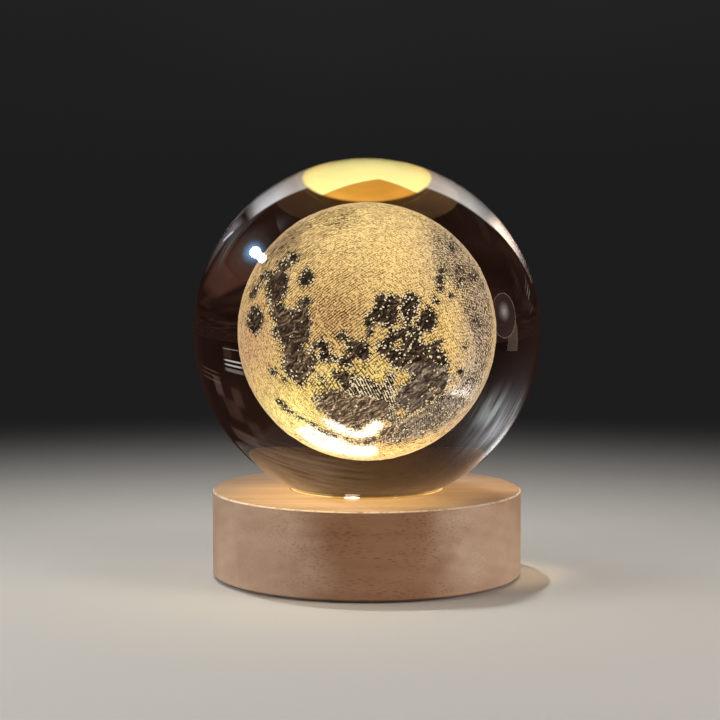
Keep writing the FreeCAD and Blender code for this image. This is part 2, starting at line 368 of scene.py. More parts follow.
# Outlines of the dark plains, drawn on a sheet where the moon's disc has its centre at
# 817, 817 and a radius of 782 (y down). Each has its brown tone and its share of
# bright dots.
SEAS = [
    (0.30, 0.05, [(240, 452), (262, 470), (282, 446), (306, 440), (330, 452), (350, 470),
                  (366, 500), (352, 524), (366, 556), (346, 592), (332, 622), (306, 646),
                  (276, 664), (246, 684), (234, 640), (222, 604), (232, 566), (212, 548),
                  (224, 516), (216, 486)]),
    (0.38, 0.07, [(245, 684), (262, 690), (276, 656), (300, 648), (326, 650), (346, 682),
                  (366, 694), (390, 684), (414, 660), (430, 628), (470, 612), (500, 622),
                  (496, 652), (472, 672), (480, 712), (492, 770), (492, 832), (478, 880),
                  (452, 892), (462, 920), (480, 942), (510, 972), (522, 1012), (502, 1052),
                  (474, 1082), (462, 1112), (430, 1146), (400, 1118), (370, 1084), (342, 1066),
                  (320, 1022), (318, 980), (330, 922), (322, 896), (298, 870), (268, 860),
                  (262, 810), (276, 770), (250, 730)]),
    (0.12, 0.02, [(412, 520), (432, 492), (446, 470), (474, 444), (500, 480), (508, 512),
                  (490, 542), (462, 560), (428, 546)]),
    (0.20, 0.20, [(288, 404), (322, 378), (350, 380), (366, 356), (396, 346), (424, 364),
                  (412, 410), (378, 424), (350, 452), (318, 466), (290, 450), (306, 420)]),
    (0.20, 0.24, [(286, 428), (306, 398), (318, 400), (304, 440), (286, 452)]),
    (0.16, 0.05, [(108, 724), (128, 676), (168, 666), (200, 700), (210, 756), (196, 806),
                  (162, 840), (128, 812), (108, 768)]),
    (0.25, 0.20, [(118, 610), (140, 560), (172, 528), (188, 532), (166, 580), (140, 624)]),
    (0.20, 0.20, [(182, 508), (206, 470), (222, 462), (214, 500), (196, 530)]),
    (0.20, 0.12, [(242, 1020), (262, 1040), (290, 1030), (296, 1060), (272, 1084), (248, 1072)]),
    (0.20, 0.12, [(316, 1076), (342, 1082), (352, 1108), (332, 1122), (314, 1104)]),
    (0.18, 0.20, [(478, 918), (500, 890), (528, 866), (552, 858), (580, 872), (602, 900),
                  (610, 940), (650, 966), (690, 950), (704, 920), (690, 884), (704, 862),
                  (740, 872), (790, 862), (822, 888), (838, 930), (836, 972), (800, 992),
                  (762, 970), (732, 976), (726, 1010), (702, 1030), (676, 1020), (650, 992),
                  (600, 998), (560, 992), (524, 984), (492, 968)]),
    (0.12, 0.08, [(636, 836), (662, 822), (690, 812), (706, 836), (696, 866), (664, 870),
                  (644, 862)]),
    (0.30, 0.14, [(606, 1060), (630, 1044), (670, 1050), (702, 1040), (722, 1056), (752, 1062),
                  (728, 1084), (724, 1108), (742, 1130), (722, 1152), (690, 1162), (664, 1136),
                  (652, 1100), (622, 1082)]),
    (0.25, 0.10, [(526, 1070), (546, 1070), (584, 1098), (590, 1118), (564, 1112)]),
    (0.12, 0.50, [(690, 1110), (740, 1078), (800, 1084), (850, 1102), (900, 1134), (922, 1098),
                  (944, 1046), (980, 1056), (976, 1126), (984, 1180), (1002, 1240), (962, 1262),
                  (900, 1224), (840, 1208), (780, 1192), (712, 1196)]),
    (0.82, 0.06, [(500, 1200), (560, 1176), (610, 1158), (660, 1154), (700, 1168), (730, 1190),
                  (780, 1186), (840, 1198), (900, 1204), (942, 1214), (962, 1260), (946, 1310),
                  (910, 1332), (870, 1330), (810, 1348), (786, 1386), (760, 1400), (724, 1384),
                  (690, 1366), (640, 1352), (600, 1322), (560, 1290), (520, 1250)]),
    (0.30, 0.14, [(504, 1196), (560, 1172), (606, 1160), (640, 1176), (620, 1230), (600, 1290),
                  (560, 1280), (524, 1240)]),
    (0.12, 0.10, [(862, 640), (868, 612), (900, 600), (930, 606), (960, 598), (1002, 622),
                  (1010, 660), (1004, 702), (990, 730), (996, 752), (966, 780), (930, 792),
                  (896, 770), (872, 764), (850, 730), (850, 696), (866, 670)]),
    (0.14, 0.14, [(804, 724), (822, 704), (850, 700), (856, 740), (872, 772), (852, 800),
                  (850, 836), (826, 856), (810, 840), (818, 790), (800, 750)]),
    (0.11, 0.10, [(1108, 750), (1124, 716), (1150, 690), (1168, 666), (1186, 682), (1210, 700),
                  (1222, 730), (1222, 776), (1196, 814), (1160, 822), (1130, 802), (1104, 782)]),
    (0.08, 0.24, [(1052, 618), (1078, 600), (1104, 604), (1130, 622), (1124, 650), (1096, 662),
                  (1066, 650)]),
    (0.08, 0.24, [(1032, 664), (1056, 652), (1066, 694), (1094, 716), (1082, 750), (1046, 742),
                  (1022, 710)]),
    (0.08, 0.14, [(1192, 632), (1214, 616), (1238, 640), (1222, 660), (1198, 652)]),
    (0.10, 0.40, [(960, 790), (990, 768), (1022, 730), (1060, 742), (1096, 756), (1130, 800),
                  (1168, 826), (1190, 850), (1150, 872), (1110, 846), (1060, 840), (1000, 828),
                  (970, 832)]),
    (0.16, 0.24, [(872, 912), (890, 880), (922, 862), (946, 842), (938, 800), (966, 790),
                  (1000, 800), (1062, 826), (1112, 838), (1132, 868), (1150, 892), (1200, 884),
                  (1232, 860), (1262, 866), (1252, 900), (1240, 926), (1272, 930), (1290, 980),
                  (1300, 1010), (1260, 1030), (1180, 1010), (1080, 1020), (1000, 1042),
                  (950, 1012), (934, 966), (900, 950)]),
    (0.62, 0.07, [(1000, 1010), (1080, 990), (1180, 985), (1260, 1000), (1300, 1000),
                  (1290, 1050), (1316, 1082), (1312, 1110), (1280, 1140), (1286, 1176),
                  (1236, 1192), (1190, 1232), (1130, 1272), (1070, 1300), (1010, 1310),
                  (958, 1262), (980, 1210), (998, 1180), (1002, 1136), (1062, 1112),
                  (1078, 1070), (1052, 1040), (1010, 1040)]),
    (0.90, 0.10, [(888, 1430), (898, 1398), (940, 1368), (1002, 1364), (1030, 1390),
                  (1000, 1428), (940, 1442)]),
    (0.45, 0.14, [(488, 1352), (530, 1370), (582, 1404), (642, 1424), (652, 1440), (596, 1428),
                  (540, 1396), (494, 1366)]),
    (0.45, 0.14, [(388, 1300), (440, 1326), (488, 1350), (492, 1362), (440, 1342), (390, 1314)]),
    (0.55, 0.14, [(690, 1444), (760, 1466), (800, 1450), (850, 1442), (880, 1462), (866, 1482),
                  (800, 1478), (740, 1474), (700, 1456)]),
    (0.30, 0.14, [(276, 1208), (302, 1220), (342, 1252), (372, 1282), (388, 1302), (360, 1298),
                  (318, 1268), (288, 1238)]),
    (0.40, 0.46, [(900, 1232), (960, 1250), (1000, 1290), (1012, 1350), (975, 1372), (940, 1330),
                  (915, 1290)]),
    (0.50, 0.46, [(905, 1462), (950, 1410), (1000, 1345), (1060, 1325), (1134, 1284), (1200, 1236),
                  (1250, 1200), (1300, 1186), (1370, 1196), (1392, 1232), (1356, 1290),
                  (1250, 1368), (1104, 1442), (914, 1480)]),
    (0.03, 0.40, [(1004, 650), (1030, 612), (1060, 590), (1100, 602), (1130, 626), (1130, 665),
                  (1110, 700), (1092, 722), (1096, 760), (1060, 788), (1030, 770), (1012, 730),
                  (1014, 690)]),
    (0.25, 0.12, [(1222, 456), (1246, 432), (1274, 446), (1276, 474), (1250, 490), (1226, 478)]),
    (0.25, 0.12, [(1206, 506), (1240, 488), (1272, 506), (1266, 536), (1232, 542), (1208, 530)]),
    (0.25, 0.12, [(1222, 556), (1248, 542), (1268, 562), (1250, 582), (1226, 576)]),
    (0.25, 0.12, [(1286, 600), (1310, 586), (1326, 606), (1308, 632), (1290, 624)]),
    (0.30, 0.12, [(1338, 440), (1368, 424), (1394, 446), (1380, 480), (1346, 486), (1326, 462)]),
    (0.30, 0.12, [(1408, 470), (1440, 452), (1470, 480), (1462, 520), (1430, 516), (1410, 500)]),
    (0.30, 0.12, [(1344, 512), (1372, 500), (1396, 524), (1380, 552), (1350, 546)]),
    (0.30, 0.12, [(1450, 740), (1474, 726), (1490, 760), (1478, 794), (1454, 786)]),
    (0.30, 0.12, [(1300, 300), (1330, 290), (1350, 316), (1330, 342), (1304, 330)]),
    (0.20, 0.10, [(1342, 1056), (1362, 1032), (1386, 1046), (1376, 1072), (1352, 1076)]),
    (0.15, 0.10, [(1376, 900), (1394, 890), (1402, 908), (1386, 922)]),
]
# Bright ground inside the plains.
ISLANDS = [
    [(505, 925), (525, 915), (548, 928), (544, 950), (518, 952)],
    [(964, 790), (986, 776), (1006, 752), (1034, 752), (1036, 776), (1010, 800), (974, 806)],
    [(968, 900), (986, 872), (1016, 866), (1028, 890), (1000, 914), (972, 916)],
    [(1066, 744), (1080, 738), (1092, 756), (1090, 786), (1070, 780)],
    [(864, 776), (884, 768), (896, 806), (886, 840), (866, 826)],
    [(982, 1282), (1000, 1262), (1056, 1266), (1050, 1290), (1022, 1308), (990, 1312)],
    [(1126, 826), (1160, 818), (1212, 828), (1230, 850), (1196, 872), (1150, 878), (1128, 858)],
    [(1196, 1160), (1212, 1148), (1228, 1158), (1222, 1176), (1202, 1176)],
]
# Plains on the far side: directions, radius in radians, brown tone.
FAR_SEAS = [
    ((0.55, 0.80, 0.25), 0.34, 0.4),
    ((0.25, 0.93, -0.20), 0.30, 0.6),
    ((-0.62, 0.72, 0.32), 0.26, 0.3),
    ((-0.35, 0.90, -0.30), 0.22, 0.6),
    ((0.90, 0.35, -0.30), 0.22, 0.5),
    ((-0.95, 0.26, -0.15), 0.18, 0.5),
    ((0.05, 0.80, 0.62), 0.22, 0.2),
    ((0.85, 0.40, 0.42), 0.15, 0.2),
    ((-0.70, 0.60, -0.42), 0.13, 0.6),
    ((0.30, 0.62, -0.75), 0.20, 0.8),
]
# Ground that is thick with dark strokes: share of dark, outline.
THICK = [
    (0.53, [(1130, 150), (1230, 150), (1320, 200), (1410, 300), (1480, 400), (1530, 520),
            (1562, 650), (1572, 800), (1556, 950), (1512, 1080), (1446, 1196), (1356, 1306),
            (1236, 1404), (1104, 1470), (960, 1494), (886, 1478), (900, 1440), (1004, 1392),
            (1084, 1338), (1184, 1290), (1254, 1226), (1384, 1130), (1442, 1050), (1456, 930),
            (1440, 830), (1400, 740), (1372, 690), (1340, 580), (1230, 450), (1200, 360),
            (1172, 260)]),
    (0.64, [(960, 1430), (1004, 1340), (1104, 1306), (1206, 1262), (1256, 1208), (1300, 1160),
            (1370, 1130), (1420, 1060), (1460, 1060), (1440, 1150), (1360, 1250), (1250, 1350),
            (1150, 1420), (1060, 1460), (980, 1480)]),
    (0.52, [(560, 110), (640, 90), (740, 90), (750, 140), (700, 200), (640, 210), (560, 200)]),
    (0.50, [(180, 420), (240, 330), (330, 240), (440, 160), (560, 110), (560, 150), (450, 230),
            (350, 310), (260, 400), (200, 470)]),
    (0.46, [(110, 560), (150, 500), (220, 470), (230, 540), (190, 600), (140, 640), (106, 640)]),
    (0.50, [(500, 1110), (560, 1100), (600, 1140), (580, 1190), (520, 1200), (490, 1160)]),
    (0.40, [(330, 260), (420, 210), (450, 240), (380, 320), (330, 360), (290, 340)]),
]
# Painted light: the LED's glow on the engraving, as soft patches on the same sheet: centre, half widths, turn, colour.
GLOW = [
    (880, 200, 430, 200, 0, (0.96, 0.70, 0.28)),
    (1000, 430, 250, 210, 0, (0.95, 0.66, 0.24)),
    (120, 950, 170, 420, 0, (0.59, 0.35, 0.17)),
    (330, 300, 160, 160, 0, (0.66, 0.44, 0.20)),
    (300, 262, 230, 62, 45, (0.55, 0.34, 0.17)),
    (620, 740, 200, 180, 0, (0.68, 0.41, 0.155)),
    (1280, 830, 120, 260, 0, (0.90, 0.60, 0.20)),
    (1480, 760, 110, 560, 0, (0.62, 0.46, 0.31)),
    (1330, 330, 190, 250, 0, (0.66, 0.49, 0.30)),
    (360, 1250, 210, 180, 0, (0.98, 0.77, 0.21)),
    (190, 1190, 110, 170, -25, (0.78, 0.53, 0.20)),
    (420, 1325, 150, 80, -35, (1.04, 0.88, 0.31)),
    (1250, 1360, 260, 120, 30, (0.66, 0.50, 0.31)),
    (1410, 1160, 90, 170, -20, (0.72, 0.58, 0.43)),
    (820, 1060, 180, 90, 0, (0.95, 0.69, 0.22)),
    (560, 1100, 90, 70, 0, (0.95, 0.72, 0.24)),
    (400, 1420, 260, 120, -30, (1.04, 0.91, 0.34)),
    (1050, 1535, 280, 60, 12, (0.95, 0.68, 0.27)),
    (1336, 1204, 92, 40, 32, (1.30, 1.18, 1.00)),
]
# Painted white-hot glare, where the LED's light is brightest through the engraving: outlines on the same sheet.
HOT = [
    [(400, 1400), (480, 1372), (560, 1406), (650, 1446), (740, 1492), (872, 1494), (872, 1540),
     (830, 1560), (720, 1556), (560, 1520), (450, 1462)],
    [(560, 1330), (660, 1350), (720, 1390), (800, 1390), (850, 1336), (906, 1352), (900, 1400),
     (850, 1430), (760, 1438), (660, 1412), (600, 1380)],
]


def sheet(x, y):
    return (np.asarray(x, float) - 817) / 782, (817 - np.asarray(y, float)) / 782


def inside_by(u, v, outline):
    """How far inside the outline each point is, in disc radii; negative outside."""
    px, py = sheet(*zip(*outline))
    best = np.full(len(u), 9.0)
    within = np.zeros(len(u), bool)
    for i in range(len(px)):
        ax, ay = px[i - 1], py[i - 1]
        bx, by = px[i], py[i]
        ex, ey = bx - ax, by - ay
        t = np.clip(((u - ax) * ex + (v - ay) * ey) / max(ex * ex + ey * ey, 1e-12), 0, 1)
        best = np.minimum(best, np.hypot(u - ax - t * ex, v - ay - t * ey))
        if by != ay:
            cross = ((ay > v) != (by > v)) & (u < ax + (v - ay) / (by - ay) * ex)
            within ^= cross
    return np.where(within, best, -best)


def moon_mesh():
    n = 127
    t = np.tan(np.linspace(-math.pi / 4, math.pi / 4, n + 1))
    a, b = np.meshgrid(t, t, indexing="ij")
    one = np.ones_like(a)
    sides = [(one, a, b), (-one, b, a), (b, one, a), (a, -one, b), (a, b, one), (b, a, -one)]
    key, verts, faces = {}, [], []
    for side in sides:
        p = np.stack(side, -1).reshape(-1, 3)
        p /= np.linalg.norm(p, axis=1, keepdims=True)
        ids = []
        for q in p:
            k = (round(q[0] * 1e6), round(q[1] * 1e6), round(q[2] * 1e6))
            if k not in key:
                key[k] = len(verts)
                verts.append(q)
            ids.append(key[k])
        ids = np.array(ids).reshape(n + 1, n + 1)
        for i in range(n):
            for j in range(n):
                faces.append(
                    (int(ids[i, j]), int(ids[i + 1, j]), int(ids[i + 1, j + 1]), int(ids[i, j + 1]))
                )
    d = np.array(verts)
    m = len(d)

    # the seas
    u, v = disc_of(d)
    seen = d @ VIEW > -0.40
    front = seen * (1 - step(np.hypot(u, v), 0.985, 1.08))
    uw = u + 0.012 * fbm(d * 9.0, 3, 11) + 0.008 * fbm(d * 26.0, 2, 13)
    vw = v + 0.012 * fbm(d * 9.0, 3, 12) + 0.008 * fbm(d * 26.0, 2, 14)
    sea = np.full(m, -0.5)
    brown = np.full(m, 0.4)
    speck = np.full(m, 0.06)
    for tone, dots, outline in SEAS:
        q = np.where(seen, inside_by(uw, vw, outline), -0.5)
        win = q > sea
        sea = np.where(win, q, sea)
        brown = np.where(win, tone, brown)
        speck = np.where(win, dots, speck)
    for outline in ISLANDS:
        q = np.where(seen, inside_by(uw, vw, outline), -0.5)
        sea = np.minimum(sea, -q)
    for c, radius, tone in FAR_SEAS:
        c = np.array(c) / np.linalg.norm(c)
        ang = np.arccos(np.clip(d @ c, -1, 1))
        q = 1.02 * radius - ang + 0.34 * fbm(d * 2.1, 5, 51) + 0.06 * fbm(d * 11.0, 3, 52)
        q = np.where(seen, -0.5, q)
        win = q > sea
        sea = np.where(win, q, sea)
        brown = np.where(win, tone, brown)

    # the share of dark dashes on bright ground
    rho = np.hypot(u, v)

    def patch(cx, cy, rx, ry, turn=0.0, power=2.0):
        pu, pv = sheet(cx, cy)
        c, s = math.cos(math.radians(turn)), math.sin(math.radians(turn))
        du, dv = u - pu, v - pv
        x, y = (du * c + dv * s) / (rx / 782), (-du * s + dv * c) / (ry / 782)
        return np.exp(-(np.hypot(x, y) ** power)) * seen

    dens = 0.30 + 0.08 * fbm(d * 3.5, 3, 61)
    blotch = np.clip(0.5 + 1.1 * fbm(d * 7.0, 4, 71), 0, 1)
    for share, outline in THICK:
        q = np.where(seen, inside_by(uw, vw, outline) + 0.03 * fbm(d * 10.0, 3, 72), -0.5)
        w = step(q, -0.03, 0.03) * (0.72 + 0.40 * blotch)
        dens = np.maximum(dens, dens * (1 - w) + share * w)
    dens += 0.14 * patch(330, 330, 120, 120)
    dens += 0.12 * patch(610, 720, 180, 180)
    dens += 0.12 * patch(820, 1060, 200, 90)
    dens -= 0.10 * patch(950, 330, 280, 200)
    dens -= 0.12 * patch(150, 1000, 120, 220)
    dens -= 0.15 * patch(380, 1270, 210, 140, -30)
    # fewer dark dashes under the painted white glint
    dens -= 0.26 * patch(1336, 1204, 80, 36, 32)
    dens -= 0.04 * patch(1290, 830, 70, 200)
    limb = step(rho, 0.955, 0.985) * seen
    dens = dens * (1 - 0.40 * limb)
    far_dens = 0.37 + 0.08 * fbm(d * 3.5, 3, 61) + 0.14 * np.clip(fbm(d * 2.2, 4, 81) + 0.35, 0, 1)
    dens = np.clip(dens * front + far_dens * (1 - front), 0.10, 0.70)

    # sheets that the strokes are laid on: one flat, one wound round the disc
    slant = 0.9 * fbm(d * 4.0, 3, 95) - 1.0 * patch(560, 520, 260, 330) + 0.8 * patch(900, 1200, 170, 130)
    phi = np.arccos(np.clip(d @ VIEW, -1, 1))
    fold = np.interp(phi, np.append(_phi, math.pi), np.append(_rho, 0.0))
    turn = np.arctan2(d @ UP, d @ RIGHT)
    turn = np.where(turn < -math.pi / 2, turn + 2 * math.pi, turn)
    depth = -np.cos(phi)
    weft = np.stack([fold * np.cos(turn), depth, fold * np.sin(turn)], 1) * MOON_R
    wound = np.stack([turn * 0.8, depth, fold], 1) * MOON_R
    tang = step(rho + 0.10 * fbm(d * 4.0, 3, 96), 0.62, 0.80)
    stip = step(u + 0.10 * fbm(d * 5.0, 3, 97), 0.30, 0.55) * step(v, -0.55, -0.35)

    # the painted light: the LED's glow on the engraving, as a colour per point for the emission
    glow = np.zeros((m, 3)) + np.array((0.80, 0.54, 0.20))
    z = d[:, 2]
    # painted glow on the far side, a little brighter towards the top
    back = (0.80 + 0.22 * z + 0.10 * fbm(d * 2.0, 3, 104))[:, None] * np.array((0.98, 0.68, 0.27))
    for cx, cy, rx, ry, turn, colour in GLOW:
        w = patch(cx, cy, rx, ry, turn)[:, None]
        glow = glow * (1 - w) + np.array(colour) * w
    edge = (step(rho, 0.93, 0.99) * seen * np.clip(0.40 + 0.55 * fbm(d * 6.0, 3, 131), 0.08, 0.75))[:, None]
    glow = glow * (1 - edge) + np.array((0.54, 0.40, 0.25)) * edge
    glow = glow * front[:, None] + back * (1 - front[:, None])
    # painted light from the LED below: the far side's underside whiter
    under = (step(-z, 0.70, 0.97) * (1 - front))[:, None]
    glow = glow * (1 - under) + np.array((1.0, 0.88, 0.50)) * under
    # painted white-hot glare, with fewer dark dashes in it
    hot = np.zeros(m)
    for outline in HOT:
        q = np.where(seen, inside_by(uw, vw, outline), -0.5)
        hot = np.maximum(hot, step(q, -0.030, 0.020))
    glow = glow * (1 - hot[:, None]) + np.array((1.25, 1.22, 1.12)) * hot[:, None]
    dens = dens * (1 - 0.85 * hot)

    # relief, in millimetres
    h = 0.045 * fbm(d * 14.0, 4, 5)
    bend = np.stack([fbm(d * 7.0, 2, 7), fbm(d * 7.0, 2, 9), fbm(d * 7.0, 2, 10)], 1)
    ridges = 1 - np.abs(fbm(d * 12.0 + 0.7 * bend, 3, 6)) * 2.2
    deep = step(sea, -0.004, 0.020)
    h = h * (1 - deep) + deep * (-0.24 + 0.30 * (ridges - 0.5) + 0.05 * fbm(d * 30.0, 2, 8))
    rng = np.random.default_rng(20)
    for k in range(210):
        c = rng.normal(size=3)
        c /= np.linalg.norm(c)
        rad = 0.35 + 1.7 * rng.random() ** 3
        depth = 0.12 * rad ** 0.8
        q = np.arccos(np.clip(d @ c, -1, 1)) * 19.7 / rad
        bowl = np.where(q < 1, (q * q - 1) * depth, 0)
        lip = 0.35 * depth * np.exp(-(((q - 1.05) / 0.22) ** 2))
        h += (bowl + lip) * (1 - 0.7 * deep)
    r = MOON_R / MM - 0.10 + np.clip(h, -0.6, 0.09)
    verts = d * r[:, None] * MM + np.array(BALL_C)
    fields = {
        "sea": sea,
        "brown": brown,
        "speck": speck,
        "dens": dens,
        "slant": slant,
        "ridges": np.clip(ridges, 0, 1),
        "tang": tang,
        "stip": stip,
        "weft": weft,
        "wound": wound,
        "glow": np.column_stack([glow, np.ones(m)]),
    }
    return verts, faces, fields


def moon_material():
    t = Tree("engraved moon")
    sea, dens, slant, tang = t.attr("sea"), t.attr("dens"), t.attr("slant"), t.attr("tang")
    brown, speck = t.attr("brown"), t.attr("speck")
    glow = t.attr("glow", "Color")
    weft, wound = t.attr("weft", "Vector"), t.attr("wound", "Vector")
    p = t.node("ShaderNodeVectorMath", operation="SUBTRACT", in_0=t.coord, in_1=tuple(BALL_C))

    # engraved strokes, laid in rows that wander a little
    bend = t.noise(t.turned((0.0016, 0.0016, 0.0016), (0, 0, 0), weft), 1.0, 2.0, 0.5)

    def rows(sheet_v, lean, sizes, pitch, sway):
        q = t.turned((pitch, pitch, pitch), (0, math.radians(lean), 0), sheet_v)
        _, deep, across = t.xyz(q)
        phase = t.math("ADD", t.math("MULTIPLY", across, 2 * math.pi), t.math("MULTIPLY_ADD", bend, sway, t.math("MULTIPLY", deep, 2.2)))
        stroke = t.noise(t.turned(sizes, (0, math.radians(lean), 0), sheet_v), 1.0, 1.0, 0.5)
        return t.math("MULTIPLY_ADD", t.math("SUBTRACT", stroke, 0.5), 2.5, t.math("MULTIPLY", t.math("SINE", phase), 0.40))

    def dots_grid(sheet_v, pitch, sway):
        q = t.turned((pitch, pitch, pitch), (0, 0, 0), sheet_v)
        along, deep, across = t.xyz(q)
        wander = t.math("MULTIPLY_ADD", bend, sway, t.math("MULTIPLY", deep, 2.2))
        a = t.math("SINE", t.math("MULTIPLY_ADD", across, 2 * math.pi, wander))
        b = t.math("SINE", t.math("MULTIPLY_ADD", along, 2 * math.pi, wander))
        jig = t.noise(t.turned((0.00036, 0.00036, 0.00030), (0, 0, 0), sheet_v), 1.0, 1.0, 0.5)
        return t.math("MULTIPLY_ADD", t.math("SUBTRACT", jig, 0.5), 2.7, t.math("MULTIPLY", t.math("ADD", a, b), 0.22))

    def strokes(value, share, soft=0.09):
        over = t.math("SUBTRACT", value, t.math("MULTIPLY", t.math("SUBTRACT", 0.5, share), 1.25))
        return t.span(over, -soft, soft)

    w_up = rows(weft, 48, (0.00066, 0.00040, 0.00024), 0.00041, 8.0)
    w_down = rows(weft, -36, (0.00072, 0.00040, 0.00024), 0.00041, 8.0)
    w_round = dots_grid(wound, 0.00042, 5.0)
    w_arc = rows(wound, 0, (0.00092, 0.00040, 0.00023), 0.00040, 6.0)
    w_hair = rows(weft, 50, (0.00150, 0.00040, 0.00018), 0.00034, 5.0)

    # ragged shore, stepped along the rows
    ragged = t.noise(p, 1700.0, 3.0, 0.65)
    shore = t.math("MULTIPLY_ADD", t.math("SUBTRACT", ragged, 0.5), 0.095, sea)
    shore = t.math("MULTIPLY_ADD", t.math("MAXIMUM", w_up, w_down), 0.014, shore)
    inside = t.span(shore, -0.0025, 0.0025)

    share = t.math("ADD", dens, t.span(sea, -0.030, 0.0, 0.0, 0.24))
    flat = t.math("MULTIPLY", share, t.math("SUBTRACT", 1.0, t.math("MULTIPLY", tang, 0.75)))
    lean = t.span(slant, -0.55, 0.55, 0.35, 1.0)
    other = t.span(slant, 0.55, -0.55, 0.35, 1.0)
    dash = t.math("MAXIMUM", strokes(w_up, t.math("MULTIPLY", flat, lean)), strokes(w_down, t.math("MULTIPLY", flat, other)))
    edge_share = t.math("MULTIPLY", share, tang)
    stip = t.attr("stip")
    dash = t.math("MAXIMUM", dash, strokes(w_round, t.math("MULTIPLY", edge_share, stip)))
    dash = t.math("MAXIMUM", dash, strokes(w_arc, t.math("MULTIPLY", edge_share, t.math("SUBTRACT", 1.0, stip))))
    fade = t.noise(p, 1900.0, 2.0, 0.6)
    dash = t.math("MULTIPLY", dash, t.span(fade, 0.28, 0.52, 0.55, 1.0))
    grain = t.noise(p, 3600.0, 2.0, 0.6)
    lit = t.mix(1.0, glow, t.ramp(grain, [(0.30, 0.60), (0.50, 1.02), (0.70, 1.40)]), "MULTIPLY")
    keep = t.span(share, 0.18, 0.50, 0.44, 0.045)
    keep_c = t.node("ShaderNodeCombineColor", in_0=keep, in_1=t.math("MULTIPLY", keep, 0.76), in_2=t.math("MULTIPLY", keep, 0.62))
    land = t.mix(dash, lit, t.mix(1.0, glow, keep_c, "MULTIPLY"))

    # leathery plains, their folds shaded as if lit from the upper left
    def folds(offset):
        v = t.node("ShaderNodeVectorMath", operation="ADD", in_0=p, in_1=offset)
        return t.noise(t.turned((0.0021, 0.0013, 0.00105), (0, math.radians(-40), 0), v), 1.0, 3.0, 0.55, 0.7)

    fold = folds((0.0, 0.0, 0.0))
    shade = t.math("SUBTRACT", fold, folds((-0.00016, 0.0, 0.00016)))
    shade = t.span(shade, -0.062, 0.092)
    patchy = t.noise(p, 330.0, 2.0, 0.5)
    shade = t.math("MULTIPLY", shade, t.span(patchy, 0.35, 0.62, 0.55, 1.15))
    shade = t.math("ADD", t.math("MULTIPLY", shade, 0.74), t.math("MULTIPLY", t.attr("ridges"), 0.26))
    shade = t.math("POWER", shade, 2.2)
    floor_c = t.ramp(brown, [(0.0, (0.0026, 0.0012, 0.0007)), (0.36, (0.0115, 0.0052, 0.0025)), (0.62, (0.028, 0.018, 0.012)), (1.0, (0.040, 0.021, 0.008))])
    crest_c = t.ramp(brown, [(0.0, (0.070, 0.045, 0.031)), (0.36, (0.285, 0.182, 0.100)), (0.62, (0.50, 0.365, 0.250)), (1.0, (0.84, 0.56, 0.30))])
    plain = t.mix(1.0, t.mix(shade, floor_c, crest_c), t.ramp(grain, [(0.30, 0.62), (0.50, 1.02), (0.70, 1.55)]), "MULTIPLY")

    # bright dots, most along the shores, and bright strokes where the plain thins out
    jolt = t.node("ShaderNodeTexNoise", 1, in_0=p, in_2=2600.0, in_3=1.0)
    jolted = t.node("ShaderNodeVectorMath", operation="MULTIPLY_ADD", in_0=jolt, in_1=(0.00050, 0.00050, 0.00050), in_2=p)
    q = t.turned((0.00052, 0.00040, 0.00039), (0, math.radians(-40), 0), jolted)
    spot = t.voronoi(q, 1.0, 0.9)
    luck = t.node("ShaderNodeSeparateColor", in_0=t.voronoi(q, 1.0, 0.9, output="Color"))
    by_shore = t.span(sea, 0.028, 0.003, 0.0, 0.56)
    some = t.math("MULTIPLY", speck, t.span(speck, 0.42, 0.46, 1.0, 0.35))
    on = t.math("LESS_THAN", luck, t.math("ADD", some, by_shore))
    dot = t.math("MULTIPLY", t.span(spot, 0.47, 0.36), on)
    thin = t.math("MULTIPLY", t.span(speck, 0.42, 0.46), strokes(w_hair, 0.27, 0.10))
    thin = t.math("MULTIPLY", thin, t.span(brown, 0.15, 0.50, 0.95, 0.42))
    dot = t.math("MAXIMUM", dot, thin, clamp=True)
    plain = t.mix(dot, plain, t.mix(0.40, (1.15, 1.00, 0.72), glow))

    colour = t.mix(inside, land, plain)
    base = t.mix(inside, t.mix(dash, (0.12, 0.085, 0.045), (0.02, 0.014, 0.009)), (0.012, 0.009, 0.007))
    height = t.math("ADD", fold, t.math("MULTIPLY", dash, -0.4))
    # The emission colour is painted light: the LED's light on the engraving, the plains' folds painted shaded and the
    # dots painted bright.
    t.set(
        Base_Color=base,
        Emission_Color=colour,
        Emission_Strength=1.0,
        Specular_IOR_Level=0.05,
        Roughness=t.math("MULTIPLY_ADD", grain, 0.25, 0.42),
        Normal=t.bump(height, 0.8, 0.00015),
    )
    return t.mat


ball = mesh_piece(
    "crystal_ball_clear", *ball_mesh(), crystal_material(), "ball", ["crystal_ball"], "crystal"
)
ball.visible_shadow = False
ball.visible_diffuse = False

verts, faces, fields = moon_mesh()
moon = mesh_piece(
    "moon_relief", verts, faces, moon_material(), "ball", ["engraved_moon"], "engraved_moon"
)
for name, values in fields.items():
    kind, key = {1: ("FLOAT", "value"), 3: ("FLOAT_VECTOR", "vector"), 4: ("FLOAT_COLOR", "color")}[
        1 if values.ndim == 1 else values.shape[1]
    ]
    at = moon.data.attributes.new(name, kind, "POINT")
    at.data.foreach_set(key, values.astype(np.float32).ravel())


